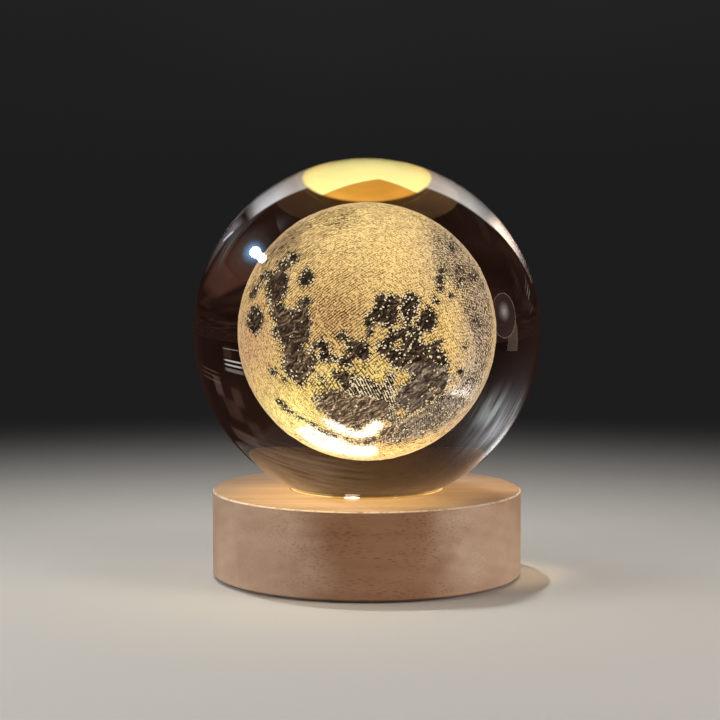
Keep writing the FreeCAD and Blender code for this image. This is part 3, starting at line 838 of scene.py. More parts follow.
# ---------------------------------------------------------------- wood
def beech_material():
    """Pale beech, its grain along X: dashes on the front, dots on the two ends."""
    t = Tree("turned beech")
    x, y, z = t.xyz()
    # slow figure and growth rings
    warp = t.noise(t.scaled(9, 30, 30), 1.0, 3.0, 0.5)
    ring = t.math("MULTIPLY", t.math("ADD", t.math("ADD", z, t.math("MULTIPLY", y, 0.35)), t.math("MULTIPLY", warp, 0.010)), 2 * math.pi / 0.0034)
    rings = t.math("MULTIPLY_ADD", t.math("SINE", ring), 0.5, 0.5)
    figure = t.noise(t.scaled(24, 75, 75), 1.0, 4.0, 0.55, 0.3)
    base = t.ramp(
        figure,
        [
            (0.25, (0.335, 0.205, 0.135)),
            (0.45, (0.440, 0.290, 0.198)),
            (0.60, (0.500, 0.345, 0.245)),
            (0.80, (0.545, 0.390, 0.285)),
        ],
    )
    base = t.mix(t.math("MULTIPLY", rings, 0.16), base, (0.36, 0.20, 0.12))
    # ray flecks: short reddish dashes on the long-grain faces
    fleck_v = t.scaled(420, 2300, 2300)
    flecks = t.voronoi(fleck_v, 1.0, 1.0)
    fleck_area = t.span(t.noise(t.scaled(60, 220, 220), 1.0, 2.0, 0.5), 0.40, 0.62)
    fleck = t.math("MULTIPLY", t.span(flecks, 0.42, 0.20), fleck_area, clamp=True)
    middle = t.span(t.math("ABSOLUTE", x), 0.030, 0.010, 0.22, 0.66, True)
    base = t.mix(t.math("MULTIPLY", fleck, middle), base, (0.22, 0.085, 0.042))
    # fine pores and fibres
    fibre = t.noise(t.scaled(180, 3800, 3800), 1.0, 3.0, 0.6)
    base = t.mix(t.span(fibre, 0.45, 0.80, 0.0, 0.30), base, (0.62, 0.46, 0.34))
    pores = t.voronoi(t.scaled(900, 5200, 5200), 1.0, 1.0)
    base = t.mix(t.span(pores, 0.30, 0.08, 0.0, 0.35), base, (0.20, 0.10, 0.06))
    # the middle of the front and back is deeper and redder: partly the flat-sawn wood's own tone, partly painted shade
    # where the side lights reach less
    redder_middle_and_shade = t.span(t.math("ADD", t.math("ABSOLUTE", t.math("SUBTRACT", x, 0.0035)), t.span(figure, 0.3, 0.7, -0.004, 0.004)), 0.021, 0.009, 0.0, 1.0, True)
    redder_middle_and_shade = t.math("MULTIPLY", redder_middle_and_shade, t.span(z, 0.0203, 0.0199))
    base = t.mix(redder_middle_and_shade, base, t.mix(1.0, base, (0.61, 0.47, 0.37), "MULTIPLY"))
    # painted highlight: the top edge a touch paler in a thin broken line, where its rounding catches the light
    rad = t.math("SQRT", t.math("ADD", t.math("MULTIPLY", x, x), t.math("MULTIPLY", y, y)))
    near_top = t.math("MULTIPLY", t.span(z, 0.01980, 0.02000), t.span(rad, 0.03530, 0.03550))
    edge_breaks = t.noise(t.scaled(420, 420, 200), 1.0, 3.0, 0.6)
    rim = t.math("MULTIPLY", near_top, t.span(edge_breaks, 0.38, 0.55, 0.15, 1.0), clamp=True)
    base = t.mix(t.math("MULTIPLY", rim, 0.75), base, (0.92, 0.78, 0.60))
    # a thin darker band just under the top edge, broken up by the same noise
    under = t.math("MULTIPLY", t.span(z, 0.01935, 0.01960), t.span(z, 0.01985, 0.01965), clamp=True)
    under = t.math("MULTIPLY", under, t.span(edge_breaks, 0.50, 0.70))
    base = t.mix(t.math("MULTIPLY", under, 0.5), base, (0.16, 0.07, 0.04))
    # long grain lines show on the turned top
    lines = t.noise(t.scaled(14, 1500, 60), 1.0, 3.0, 0.55, 0.2)
    lines = t.math("MULTIPLY", t.span(lines, 0.50, 0.66), t.span(z, 0.0200, 0.0202), clamp=True)
    base = t.mix(t.math("MULTIPLY", lines, 0.38), base, (0.20, 0.095, 0.045))
    # painted shade: the lowest part of the side darker, where the base meets the floor
    low = t.math("MULTIPLY", t.span(z, 0.0011, 0.0005), t.span(rad, 0.0350, 0.0354), clamp=True)
    base = t.mix(t.math("MULTIPLY", low, 0.55), base, (0.12, 0.065, 0.035))
    height = t.math(
        "ADD",
        t.math("MULTIPLY", fibre, 0.6),
        t.math("SUBTRACT", t.math("MULTIPLY", figure, 0.3), t.math("MULTIPLY", fleck, 0.35)),
    )
    t.set(
        Base_Color=base,
        Roughness=t.math("MULTIPLY_ADD", fibre, 0.22, 0.36),
        Specular_IOR_Level=0.45,
        Coat_Weight=0.12,
        Coat_Roughness=0.28,
        Normal=t.bump(height, 0.35, 0.00006),
    )
    return t.mat


def plastic(name, color, rough=0.45, grain=900.0, depth=0.00003, spread=0.12, **extra):
    t = Tree(name)
    fine = t.noise(t.coord, grain * 3, 3.0, 0.6)
    slow = t.noise(t.coord, grain * 0.12, 3.0, 0.5)
    darker = tuple(c * (1 - spread) for c in color)
    lighter = tuple(min(1.0, c * (1 + spread * 0.6)) for c in color)
    t.set(
        Base_Color=t.ramp(slow, [(0.3, darker), (0.7, lighter)]),
        Roughness=t.math("MULTIPLY_ADD", fine, 0.16, rough - 0.08),
        Normal=t.bump(fine, 0.35, depth),
        **extra,
    )
    return t.mat


def metal(name, color, rough=0.3, along=(1, 1, 14)):
    t = Tree(name)
    brushed = t.noise(t.scaled(*[600.0 * a for a in along]), 1.0, 3.0, 0.6)
    tarnish = t.noise(t.coord, 420.0, 4.0, 0.6)
    t.set(
        Base_Color=t.ramp(tarnish, [(0.3, tuple(c * 0.78 for c in color)), (0.62, color)]),
        Metallic=1.0,
        Roughness=t.math("MULTIPLY_ADD", brushed, 0.25, rough - 0.1),
        Normal=t.bump(brushed, 0.25, 0.00001),
    )
    return t.mat


wear(beech_material(), "wood_base")


def silicone(name, bead=False):
    """Clear soft ring, its emission painted light: where it meets the ball it passes the LED's light in bright pieces,
    dim gold elsewhere, and the bead gets a painted white glint.
    """
    t = Tree(name)
    x, y, z = t.xyz()
    rad = t.math("SQRT", t.math("ADD", t.math("MULTIPLY", x, x), t.math("MULTIPLY", y, y)))
    cloud = t.noise(t.scaled(300, 300, 300), 1.0, 3.0, 0.5)
    turn = t.math("MULTIPLY", t.math("ARCTAN2", x, t.math("MULTIPLY", y, -1.0)), 180 / math.pi)
    turn = t.math("ADD", turn, t.span(t.noise(t.scaled(500, 500, 500), 1.0, 2.0, 0.6), 0.3, 0.7, -4.0, 4.0))
    long = t.math("MULTIPLY", t.span(turn, -22.0, -30.0), t.span(turn, -100.0, -70.0, 0.35, 1.0), clamp=True)
    right = t.math("MULTIPLY", t.span(turn, 38.0, 52.0), 0.85)
    piece = t.math("MULTIPLY", t.span(t.noise(t.scaled(260, 260, 260), 1.0, 3.0, 0.7), 0.56, 0.62), 0.7)
    bright = t.math("MAXIMUM", t.math("MAXIMUM", long, right), piece)
    gleam = t.math("MULTIPLY", t.span(rad, 0.01700, 0.01735), t.span(z, 0.0202, 0.0203), clamp=True)
    if bead:
        glow = t.mix(t.span(cloud, 0.3, 0.7), (2.2, 2.0, 1.5), (1.8, 1.5, 0.95))
    else:
        glow = t.mix(gleam, (0.16, 0.070, 0.012), t.mix(bright, (0.15, 0.080, 0.018), (0.74, 0.52, 0.21)))
    # the emission colour is painted light
    t.set(
        Base_Color=t.ramp(cloud, [(0.3, (0.24, 0.135, 0.045)), (0.7, (0.32, 0.19, 0.075))]),
        Roughness=t.math("MULTIPLY_ADD", cloud, 0.15, 0.22),
        Emission_Color=glow,
        Emission_Strength=1.0,
    )
    return t.mat


wear(silicone("clear silicone, lit"), "seat_ring")


def seat_glint_bead():
    """A small bead on the seat's ring under the ball, which carries a painted glint of the LED's light."""
    n, m, verts, faces = 40, 14, [], []
    for i in range(n + 1):
        s = -1 + 2 * i / n
        a = math.radians(-10.8 + 5.9 * s)
        rr = 0.25 * math.sqrt(max(0.0, 1 - s * s)) * (1 + 0.12 * math.sin(5 * s))
        rr = max(rr, 0.004)
        for j in range(m):
            b = 2 * math.pi * j / m
            rad, z = 17.90 + rr * math.cos(b), 20.49 + rr * math.sin(b)
            verts.append((rad * math.sin(a) * MM, -rad * math.cos(a) * MM, z * MM))
    for i in range(n):
        for j in range(m):
            a0, a1 = i * m + j, i * m + (j + 1) % m
            faces.append((a0, a0 + m, a1 + m, a1))
    faces.append(tuple(range(m)))
    faces.append(tuple(n * m + j for j in reversed(range(m))))
    return verts, faces


# a painted glint: the bead glows white on the seat's ring
mesh_piece("seat_glint_bead", *seat_glint_bead(), silicone("clear silicone bead, lit", True), "seat", slot="clear_silicone")


def window_material():
    t = Tree("clear window")
    fine = t.noise(t.coord, 1500.0, 3.0, 0.6)
    t.set(
        Base_Color=(0.98, 0.95, 0.88),
        Transmission_Weight=1.0,
        IOR=1.49,
        Roughness=t.math("MULTIPLY_ADD", fine, 0.10, 0.10),
    )
    return t.mat


wear(window_material(), "led_window")


def phosphor():
    t = Tree("phosphor, lit")
    grain = t.noise(t.coord, 4000.0, 3.0, 0.6)
    t.set(
        Base_Color=t.ramp(grain, [(0.3, (0.85, 0.55, 0.12)), (0.7, (0.95, 0.72, 0.22))]),
        Roughness=0.35,
        Emission_Color=t.ramp(grain, [(0.3, (1.0, 0.66, 0.26)), (0.7, (1.0, 0.80, 0.46))]),
        Emission_Strength=9.0,
    )
    return t.mat


wear(phosphor(), "led_phosphors")
wear(plastic("white moulding", (0.80, 0.79, 0.76), 0.42, 700.0), "reflector_cup", "switch_plunger")
wear(plastic("light source housing", (0.86, 0.85, 0.80), 0.40, 1800.0), "led_packages")
wear(plastic("cream moulding", (0.60, 0.49, 0.37), 0.50, 900.0), "port_bezel", "button_bezel")
wear(plastic("button moulding", (0.72, 0.64, 0.53), 0.36, 900.0), "button_cap")
wear(plastic("black moulding", (0.020, 0.020, 0.021), 0.40, 1200.0), "driver_chip", "switch_body", "usb_socket_tongue")
wear(plastic("cover moulding", (0.030, 0.030, 0.031), 0.55, 700.0, 0.00008), "bottom_cover")
wear(plastic("capacitor ceramic", (0.32, 0.21, 0.12), 0.45, 1800.0), "chip_capacitors")
wear(plastic("resistor face", (0.018, 0.018, 0.019), 0.30, 1800.0), "chip_resistors")
wear(metal("nickel plate", (0.66, 0.63, 0.58), 0.30), "usb_socket_shell", "switch_terminals")
wear(metal("gold plate", (0.83, 0.58, 0.22), 0.28), "usb_socket_contacts")
wear(metal("zinc plate", (0.56, 0.57, 0.58), 0.36), "board_screws", "cover_screws")


def board_material():
    t = Tree("solder mask")
    x, y, z = t.xyz()
    rad = t.math("SQRT", t.math("ADD", t.math("MULTIPLY", x, x), t.math("MULTIPLY", y, y)))
    tracks = t.math("SINE", t.math("MULTIPLY", rad, 2 * math.pi / 0.0022))
    weave = t.noise(t.scaled(1500, 1500, 200), 1.0, 2.0, 0.5)
    t.set(
        Base_Color=t.mix(t.span(tracks, 0.55, 0.75, 0.0, 0.5), t.ramp(weave, [(0.3, (0.70, 0.71, 0.67)), (0.7, (0.82, 0.83, 0.79))]), (0.60, 0.60, 0.55)),
        Roughness=t.math("MULTIPLY_ADD", weave, 0.12, 0.28),
        Normal=t.bump(t.span(tracks, 0.5, 0.8), 0.4, 0.00003),
    )
    return t.mat


wear(board_material(), "led_board")


def foam_material():
    t = Tree("closed-cell foam")
    cells = t.voronoi(t.coord, 3200.0, 1.0)
    fine = t.noise(t.coord, 5200.0, 3.0, 0.6)
    t.set(
        Base_Color=t.ramp(cells, [(0.1, (0.012, 0.012, 0.013)), (0.6, (0.040, 0.040, 0.042))]),
        Roughness=t.math("MULTIPLY_ADD", fine, 0.10, 0.82),
        Normal=t.bump(cells, 0.6, 0.00015),
    )
    return t.mat


wear(foam_material(), "foam_pad")

for n, o in nodes.items():
    if n not in ("crystal_ball", "engraved_moon"):
        smooth_by_angle(o)

# the window passes light on
nodes["led_window"].visible_shadow = False

# ---------------------------------------------------------------- stage
DARK = (0.0150, 0.0062, 0.0038)
FAR = (0.0125, 0.0122, 0.0128)
HAZE = (0.0300, 0.0295, 0.0310)


def world_studio():
    """Dark warm surroundings with a few soft lights, as the glass shows them."""
    t = Tree("studio", world=True)
    scene.world = t.mat
    x, y, z = t.xyz()
    az = t.math("MULTIPLY", t.math("ARCTAN2", x, y), 180 / math.pi)
    elev = t.math("MULTIPLY", t.math("ARCSINE", z), 180 / math.pi)
    slow = t.noise(t.coord, 1.8, 2.0, 0.5)
    col = t.ramp(slow, [(0.32, (0.0085, 0.0030, 0.0018)), (0.52, (0.0160, 0.0068, 0.0042)), (0.72, (0.030, 0.0125, 0.0085))])

    def bell(value, centre, width, power=2.0):
        q = t.math("ABSOLUTE", t.math("DIVIDE", t.math("SUBTRACT", value, centre), width))
        return t.math("POWER", math.e, t.math("MULTIPLY", t.math("POWER", q, power), -1.0))

    def window(a, e, wa, we, colour, power=2.0, texture=None):
        nonlocal col
        w = t.math("MULTIPLY", bell(az, a, wa, power), bell(elev, e, we, power))
        if texture is not None:
            w = t.math("MULTIPLY", w, texture)
        col = t.mix(1.0, col, t.mix(w, (0, 0, 0), colour), "ADD")

    side = t.math("MULTIPLY_ADD", elev, -0.357, az)
    streak = t.noise(t.node("ShaderNodeCombineXYZ", in_0=t.math("MULTIPLY", side, 0.26), in_1=t.math("MULTIPLY", elev, 0.055)), 1.0, 3.0, 0.6)
    streak = t.span(streak, 0.34, 0.66, 0.15, 1.35)
    window(-70, 38.5, 8, 7.5, (2.75, 2.72, 2.72), 2.0, t.span(streak, 0.15, 1.35, 0.78, 1.05))
    window(-51, 29, 12, 6, (0.42, 0.43, 0.45), 2.0, t.span(streak, 0.15, 1.35, 0.35, 1.25))
    window(-60, 24, 13, 6, (0.20, 0.205, 0.215), 2.0, streak)
    window(-39, 19.5, 7, 5, (0.34, 0.38, 0.36), 2.0, streak)
    window(-52, 25, 18, 15, (0.040, 0.041, 0.043), 2.0)
    # curved streaks low in the glass
    swirl = t.noise(t.node("ShaderNodeCombineXYZ", in_0=t.math("MULTIPLY", az, 0.030), in_1=t.math("MULTIPLY_ADD", az, 0.04, t.math("MULTIPLY", elev, 0.40))), 1.0, 3.0, 0.62)
    swirl = t.math("MULTIPLY", t.span(swirl, 0.40, 0.66), t.math("MULTIPLY", t.span(elev, 26, 33), t.span(elev, 56, 48)))
    swirl = t.math("MULTIPLY", swirl, t.math("MULTIPLY", t.span(az, -6, 16), t.span(az, 64, 50)), clamp=True)
    col = t.mix(1.0, col, t.mix(swirl, (0, 0, 0), (0.085, 0.062, 0.042)), "ADD")
    # a shelf-like set of thin pale lines and some dim panes
    window(38, 1.4, 4.5, 0.14, (0.20, 0.17, 0.15), 8.0)
    window(37.5, 4.5, 4.5, 0.24, (0.50, 0.48, 0.46), 8.0)
    window(37.5, 5.7, 4.5, 0.24, (0.50, 0.48, 0.46), 8.0)
    window(37.5, 7.1, 4.8, 0.50, (0.15, 0.13, 0.12), 8.0)
    window(58, 9.2, 10, 0.25, (0.075, 0.045, 0.034), 8.0)
    window(58, 10.6, 10, 0.25, (0.075, 0.045, 0.034), 8.0)
    window(58, 12.2, 10, 0.32, (0.065, 0.040, 0.030), 8.0)
    window(40, 2.4, 2.4, 1.6, (0.026, 0.016, 0.010), 8.0)
    window(51, 13.5, 3.2, 3.0, (0.065, 0.042, 0.034), 6.0)
    window(39, 15.0, 2.6, 2.8, (0.034, 0.020, 0.014), 6.0)
    window(45, 20.0, 5, 3.5, (0.026, 0.015, 0.011), 8.0)
    window(48, 31.0, 9, 2.6, (0.060, 0.040, 0.031), 8.0)
    window(36, 25.0, 3, 3.0, (0.022, 0.013, 0.010), 6.0)
    t.put(t.bg.inputs[0], col)


world_studio()


def ring_mesh(name, radii, heights, n=128):
    verts, faces = [], []
    for r, h in zip(radii, heights):
        for s in range(n):
            a = 2 * math.pi * s / n
            verts.append((r * math.cos(a), r * math.sin(a), h))
    for s in range(n):
        for k in range(len(radii) - 1):
            i0, i1 = k * n, (k + 1) * n
            faces.append((i0 + s, i1 + s, i1 + (s + 1) % n, i0 + (s + 1) % n))
    me = bpy.data.meshes.new(name)
    me.from_pydata(verts, [], faces)
    me.polygons.foreach_set("use_smooth", [True] * len(faces))
    o = bpy.data.objects.new(name, me)
    scene.collection.objects.link(o)
    return o


def plain_floor():
    """The floor as it is seen directly, with a painted pool of light: pale near the lamp, falling off into painted
    dark far away.
    """
    t = Tree("pale floor")
    x, y, z = t.xyz()
    yy = t.math("ADD", y, 0.10)
    rad = t.math("SQRT", t.math("ADD", t.math("MULTIPLY", x, x), t.math("MULTIPLY", yy, yy)))
    fine = t.noise(t.coord, 900.0, 3.0, 0.6)
    # painted pool of light: the floor pale near the lamp, darker with distance
    pale = t.span(rad, 0.46, 0.12, 0.0, 1.0, True)
    pale = t.math("POWER", pale, 1.6)
    t.set(
        Base_Color=t.mix(pale, (0.0, 0.0, 0.0), t.mix(t.span(fine, 0.3, 0.7, 0.0, 0.06), (0.60, 0.565, 0.53), (0.5, 0.47, 0.44))),
        Roughness=0.75,
        Specular_IOR_Level=0.0,
        Emission_Color=t.mix(pale, FAR, (0, 0, 0)),
        Emission_Strength=1.0,
    )
    o = ring_mesh("floor", [1e-5, 0.05, 0.1, 0.2, 0.5, 1.5, 5.5], [0] * 7)
    o.data.materials.append(t.mat)
    o.visible_diffuse = False
    o.visible_glossy = False
    o.visible_transmission = False
    o.visible_shadow = False


def floor_in_glass():
    """The floor as the glass shows it: a pale slab with painted light on it: the light the ball throws, brighter
    strips and panes, a warm pool and a glint.
    """
    t = Tree("pale floor, in glass")
    x, y, z = t.xyz()

    def within(v, lo, hi, soft):
        a = t.span(v, lo - soft, lo + soft)
        b = t.span(v, hi + soft, hi - soft)
        return t.math("MULTIPLY", a, b)

    main = t.math("MULTIPLY", within(x, -0.062, 0.050, 0.0040), within(y, -0.085, 0.087, 0.0016))
    low_left = t.math("MULTIPLY", t.span(x, -0.046, -0.052), t.span(y, 0.046, 0.038), clamp=True)
    main = t.math("MULTIPLY", main, t.math("SUBTRACT", 1.0, low_left))
    edge = t.math("MULTIPLY_ADD", x, 0.030, 0.0865)
    strip = t.math("MULTIPLY", within(x, -0.175, -0.058, 0.0050), t.math("MULTIPLY", t.span(y, 0.042, 0.048), t.span(t.math("SUBTRACT", y, edge), 0.0016, -0.0016)))
    strip = t.math("MULTIPLY", strip, t.span(x, -0.132, -0.104, 0.30, 1.0))
    wing = t.math("MULTIPLY", within(x, 0.060, 0.170, 0.0040), within(y, 0.056, 0.0795, 0.0030))
    pale = t.math("MAXIMUM", main, strip)
    cloud = t.noise(t.scaled(26, 26, 26), 1.0, 3.0, 0.55)
    # painted light: the light that the ball throws on the floor behind it
    ex = t.math("DIVIDE", x, 0.0220)
    ey = t.math("DIVIDE", t.math("SUBTRACT", y, 0.070), 0.050)
    e = t.math("SQRT", t.math("ADD", t.math("MULTIPLY", ex, ex), t.math("MULTIPLY", ey, ey)))
    spot = t.span(e, 1.03, 0.95, 0.0, 1.0, True)
    tent = t.math("SUBTRACT", y, t.math("MULTIPLY_ADD", t.math("ABSOLUTE", t.math("ADD", x, 0.004)), 0.80, 0.088))
    beyond = t.span(tent, -0.0010, 0.0010)
    wave = t.span(cloud, 0.35, 0.65)
    cast = t.mix(beyond, t.mix(wave, (0.94, 0.76, 0.155), (1.00, 0.86, 0.24)), t.mix(wave, (0.68, 0.29, 0.032), (0.88, 0.41, 0.052)))
    light = t.mix(spot, (0, 0, 0), cast)
    # more painted light in the emission: a brighter strip, panes, a warm pool, a pale band and a glint
    lift = t.math("MULTIPLY", strip, t.math("MULTIPLY", t.span(x, -0.050, -0.064, 0.34, 1.0), t.span(x, -0.082, -0.106, 1.0, 0.12)))
    light = t.mix(1.0, light, t.mix(lift, (0, 0, 0), (1.90, 1.38, 1.05)), "ADD")
    pane = t.math("MULTIPLY", within(x, 0.030, 0.046, 0.0040), within(y, 0.050, 0.086, 0.0016))
    light = t.mix(1.0, light, t.mix(pane, (0, 0, 0), (0.26, 0.27, 0.31)), "ADD")
    other = t.math("MULTIPLY", within(x, -0.047, -0.026, 0.0050), within(y, 0.048, 0.086, 0.0016))
    light = t.mix(1.0, light, t.mix(other, (0, 0, 0), (0.17, 0.15, 0.14)), "ADD")
    pool = t.math("MULTIPLY", within(x, 0.075, 0.180, 0.020), within(y, 0.098, 0.210, 0.010))
    light = t.mix(1.0, light, t.mix(pool, (0, 0, 0), (0.055, 0.022, 0.014)), "ADD")
    fade = t.math("POWER", t.span(x, 0.170, 0.066), 2.0)
    light = t.mix(1.0, light, t.mix(t.math("MULTIPLY", wing, fade), (0, 0, 0), (0.27, 0.245, 0.27)), "ADD")
    glint = t.math("MULTIPLY", within(x, 0.0685, 0.0820, 0.0012), within(t.math("MULTIPLY_ADD", x, 0.55, y), 0.1130, 0.1185, 0.0012))
    light = t.mix(1.0, light, t.mix(glint, (0, 0, 0), (0.75, 0.82, 0.95)), "ADD")
    pale = t.math("MAXIMUM", pale, t.math("MULTIPLY", spot, t.math("SUBTRACT", 1.0, beyond)))
    slab = t.ramp(cloud, [(0.35, (0.50, 0.47, 0.45)), (0.65, (0.64, 0.61, 0.60))])
    # the slab's colour warmer inside the painted pool of light
    slab = t.mix(spot, slab, (0.50, 0.46, 0.30))
    far = t.ramp(t.noise(t.scaled(9, 9, 9), 1.0, 2.0, 0.5), [(0.3, (0.0090, 0.0034, 0.0020)), (0.5, DARK), (0.75, (0.042, 0.018, 0.013))])
    t.set(
        Base_Color=t.mix(pale, (0.0, 0.0, 0.0), slab),
        Roughness=0.75,
        Specular_IOR_Level=0.1,
        Emission_Color=t.mix(1.0, t.mix(pale, far, (0, 0, 0)), light, "ADD"),
        Emission_Strength=1.0,
    )
    o = ring_mesh("floor_in_glass", [1e-5, 0.05, 0.1, 0.2, 0.5, 1.5, 5.5], [-0.0002] * 7)
    o.data.materials.append(t.mat)
    o.visible_camera = False
    o.visible_glossy = False
    o.visible_shadow = False


def floor_mirrored():
    """The floor as the outside of the glass and the lacquer mirror it."""
    t = Tree("pale floor, mirrored")
    x, y, z = t.xyz()
    cloud = t.noise(t.scaled(26, 26, 26), 1.0, 3.0, 0.55)
    near = t.math("MULTIPLY", t.span(t.math("ABSOLUTE", x), 0.062, 0.056), t.span(t.math("ABSOLUTE", y), 0.088, 0.084))
    dark = t.ramp(cloud, [(0.35, (0.012, 0.005, 0.003)), (0.65, (0.030, 0.014, 0.010))])
    t.set(
        Base_Color=t.mix(near, (0, 0, 0), t.ramp(cloud, [(0.35, (0.20, 0.18, 0.165)), (0.65, (0.27, 0.25, 0.235))])),
        Roughness=0.75,
        Specular_IOR_Level=0.1,
        Emission_Color=t.mix(near, dark, (0, 0, 0)),
        Emission_Strength=1.0,
    )
    o = ring_mesh("floor_mirrored", [1e-5, 0.05, 0.1, 0.2, 0.5, 1.5, 5.5], [-0.0002] * 7)
    o.data.materials.append(t.mat)
    o.visible_camera = False
    o.visible_diffuse = False
    o.visible_transmission = False
    o.visible_shadow = False


def backdrop_piece():
    """A wide dark backdrop all round, seen only directly."""
    t = Tree("dark backdrop")
    x, y, z = t.xyz()
    slow = t.noise(t.coord, 0.45, 3.0, 0.5)
    up = t.span(z, 0.0, 1.4, 0.0, 1.0, True)
    col = t.mix(up, FAR, t.ramp(slow, [(0.35, (0.018, 0.0175, 0.0185)), (0.65, HAZE)]))
    t.set(Base_Color=(0, 0, 0), Roughness=1.0, Specular_IOR_Level=0.0, Emission_Color=col, Emission_Strength=1.0)
    n = 24
    radii = [5.5 * math.cos(math.pi / 2 * k / n) + 1e-4 for k in range(n + 1)]
    heights = [5.5 * math.sin(math.pi / 2 * k / n) for k in range(n + 1)]
    o = ring_mesh("backdrop", radii, heights)
    o.data.materials.append(t.mat)
    o.visible_diffuse = False
    o.visible_glossy = False
    o.visible_transmission = False
    o.visible_shadow = False


plain_floor()
floor_in_glass()
floor_mirrored()
backdrop_piece()


def area(name, loc, target, size, power, color=(1, 1, 1), glossy=True, transmission=True, shape="RECTANGLE"):
    d = bpy.data.lights.new(name, "AREA")
    d.shape = shape
    d.size, d.size_y = size if isinstance(size, tuple) else (size, size)
    d.energy = power
    d.color = color
    o = bpy.data.objects.new(name, d)
    scene.collection.objects.link(o)
    o.location = loc
    o.rotation_euler = (Vector(target) - Vector(loc)).to_track_quat("-Z", "Y").to_euler()
    o.visible_camera = False
    o.visible_glossy = glossy
    o.visible_transmission = transmission
    return o


area("left_soft", (-0.58, -0.24, 0.15), (0, 0, 0.02), (0.30, 0.40), 3.0, (0.99, 0.99, 0.99), False, False)
area("right_soft", (0.57, -0.28, 0.15), (0, 0, 0.02), (0.30, 0.40), 3.5, (1.0, 0.95, 0.90), False, False)
area("front_fill", (0.0, -0.9, 0.35), (0, 0, 0.03), (0.5, 0.3), 0.10, (1.0, 0.86, 0.74), False, False)
area("key_soft", (-0.164, 0.197, 0.654), (0, 0, 0.0566), (0.034, 0.034), 2.1, (0.94, 1.0, 0.98), False, False)
area("floor_soft", (0.0, 0.30, 0.85), (0, 0.05, 0.0), (0.5, 0.5), 0.42, (1.0, 0.98, 0.97), False, False)

# a warm pool of light on the right end of the base's top
pool = bpy.data.lights.new("warm_pool", "SPOT")
pool.energy = 7.0
pool.color = (1.0, 0.80, 0.45)
pool.spot_size = math.radians(4.6)
pool.spot_blend = 1.0
pool.shadow_soft_size = 0.012
o = bpy.data.objects.new("warm_pool", pool)
scene.collection.objects.link(o)
o.location = (0.10, 0.02, 0.42)
o.rotation_euler = (Vector((0.0310, 0.000, 0.0202)) - Vector(o.location)).to_track_quat("-Z", "Y").to_euler()
o.visible_camera = False
o.visible_glossy = False
o.visible_transmission = False

# small lamps on the left, high up
area("small_lamps", (-0.672, 0.095, 0.524), BALL_C, (0.20, 0.12), 0.7, (0.94, 0.97, 1.0), False, False)

# the lamp's own light
area("seat_glow", (-0.006, -0.016, 0.031), (-0.006, -0.016, 0), 0.050, 0.0130, (1.0, 0.72, 0.20), False, False, "DISK")
area("led_light", (0, 0, 0.0172), (0, 0, 1), 0.022, 0.05, (1.0, 0.72, 0.36), False, False, "DISK")


def card(name, centre, half_w, half_h, build):
    """A glowing card that only the outside of the glass mirrors; it faces the ball."""
    t = Tree(name)
    x, y, z = t.xyz()
    t.set(Base_Color=(0, 0, 0), Roughness=1.0, Specular_IOR_Level=0.0, Emission_Color=build(t, x, y), Emission_Strength=1.0)
    me = bpy.data.meshes.new(name)
    me.from_pydata([(-half_w, -half_h, 0), (half_w, -half_h, 0), (half_w, half_h, 0), (-half_w, half_h, 0)], [], [(0, 1, 2, 3)])
    me.materials.append(t.mat)
    o = bpy.data.objects.new(name, me)
    scene.collection.objects.link(o)
    o.location = centre
    o.rotation_euler = (BALL_C - Vector(centre)).to_track_quat("Z", "Y").to_euler()
    o.visible_camera = False
    o.visible_diffuse = False
    o.visible_transmission = False
    o.visible_shadow = False


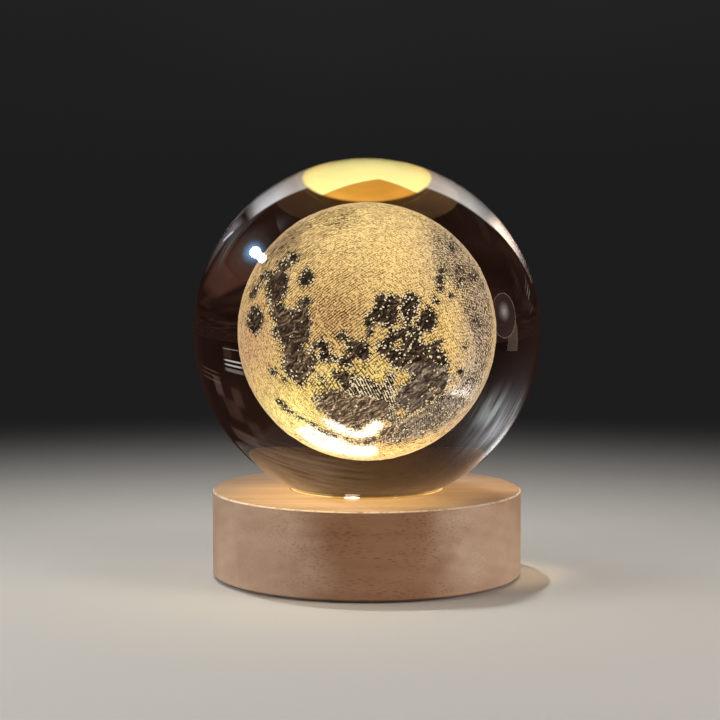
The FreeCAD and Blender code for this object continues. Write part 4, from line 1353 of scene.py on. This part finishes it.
def lamp_pair(t, x, y):
    """Two round lamps as the curved glass shows them, with a blue fringe and a faint haze."""

    def off(cx, cy, a, b, c, d):
        dx, dy = t.math("SUBTRACT", x, cx), t.math("SUBTRACT", y, cy)
        u = t.math("MULTIPLY_ADD", dx, a, t.math("MULTIPLY", dy, b))
        v = t.math("MULTIPLY_ADD", dx, c, t.math("MULTIPLY", dy, d))
        return t.math("SQRT", t.math("ADD", t.math("MULTIPLY", u, u), t.math("MULTIPLY", v, v)))

    one = off(0.0550, -0.0050, -6.826, 17.065, 9.618, 21.409)
    two = off(-0.0622, 0.0056, -9.554, 19.247, 11.943, 24.024)
    far = off(0.0750, -0.0120, -6.826, 17.065, 9.618, 21.409)
    lamps = t.math("MAXIMUM", t.span(one, 1.04, 0.94), t.span(two, 1.04, 0.94))
    ring = t.math("POWER", t.span(far, 2.5, 0.9), 2.0)
    col = t.mix(1.0, t.mix(lamps, (0, 0, 0), (24.0, 24.8, 25.5)), t.mix(ring, (0, 0, 0), (1.3, 3.6, 6.8)), "ADD")
    smear = t.noise(t.scaled(9, 40, 40, (0, 0, 0.5)), 1.0, 4.0, 0.6)
    haze = t.math("MULTIPLY", t.math("POWER", t.span(far, 5.2, 1.2), 1.5), t.span(smear, 0.35, 0.65, 0.6, 1.1))
    return t.mix(1.0, col, t.mix(haze, (0, 0, 0), (0.62, 0.56, 0.54)), "ADD")


def oval(t, x, y):
    """A dim rounded shape with a fine rim and a soft spot, and a smaller one below it."""

    def off(cx, cy, a, b):
        u = t.math("DIVIDE", t.math("SUBTRACT", x, cx), a)
        v = t.math("DIVIDE", t.math("SUBTRACT", y, cy), b)
        return t.math("SQRT", t.math("ADD", t.math("MULTIPLY", u, u), t.math("MULTIPLY", v, v)))

    col = (0.0, 0.0, 0.0)
    head = off(0.010, 0.030, 0.084, 0.062)
    body = off(-0.046, -0.058, 0.042, 0.078)
    leaf = off(0.008, -0.150, 0.050, 0.042)
    tail = off(-0.010, -0.215, 0.050, 0.035)
    spot = off(0.006, 0.040, 0.044, 0.032)
    for mask, tone in (
        (t.span(head, 1.0, 0.96), (0.20, 0.14, 0.13)),
        (t.math("MULTIPLY", t.span(head, 0.95, 0.985), t.span(head, 1.02, 0.985)), (2.0, 1.35, 1.20)),
        (t.math("MULTIPLY", t.span(body, 1.0, 0.94), t.span(head, 0.98, 1.0)), (0.62, 0.44, 0.34)),
        (t.span(leaf, 1.0, 0.85), (0.26, 0.17, 0.13)),
        (t.span(tail, 1.0, 0.80), (0.16, 0.11, 0.08)),
        (t.math("POWER", t.span(spot, 1.0, 0.0), 1.6), (4.0, 3.5, 3.3)),
    ):
        col = t.mix(1.0, col, t.mix(mask, (0, 0, 0), tone), "ADD")
    return col


card("lamp_pair", (-0.672, 0.095, 0.524), 0.50, 0.20, lamp_pair)
card("soft_oval", (0.370, 0.0596, 0.0669), 0.100, 0.260, oval)

scene.view_settings.view_transform = "Standard"
scene.view_settings.look = "None"
scene.view_settings.exposure = 0.0
scene.view_settings.gamma = 1.0
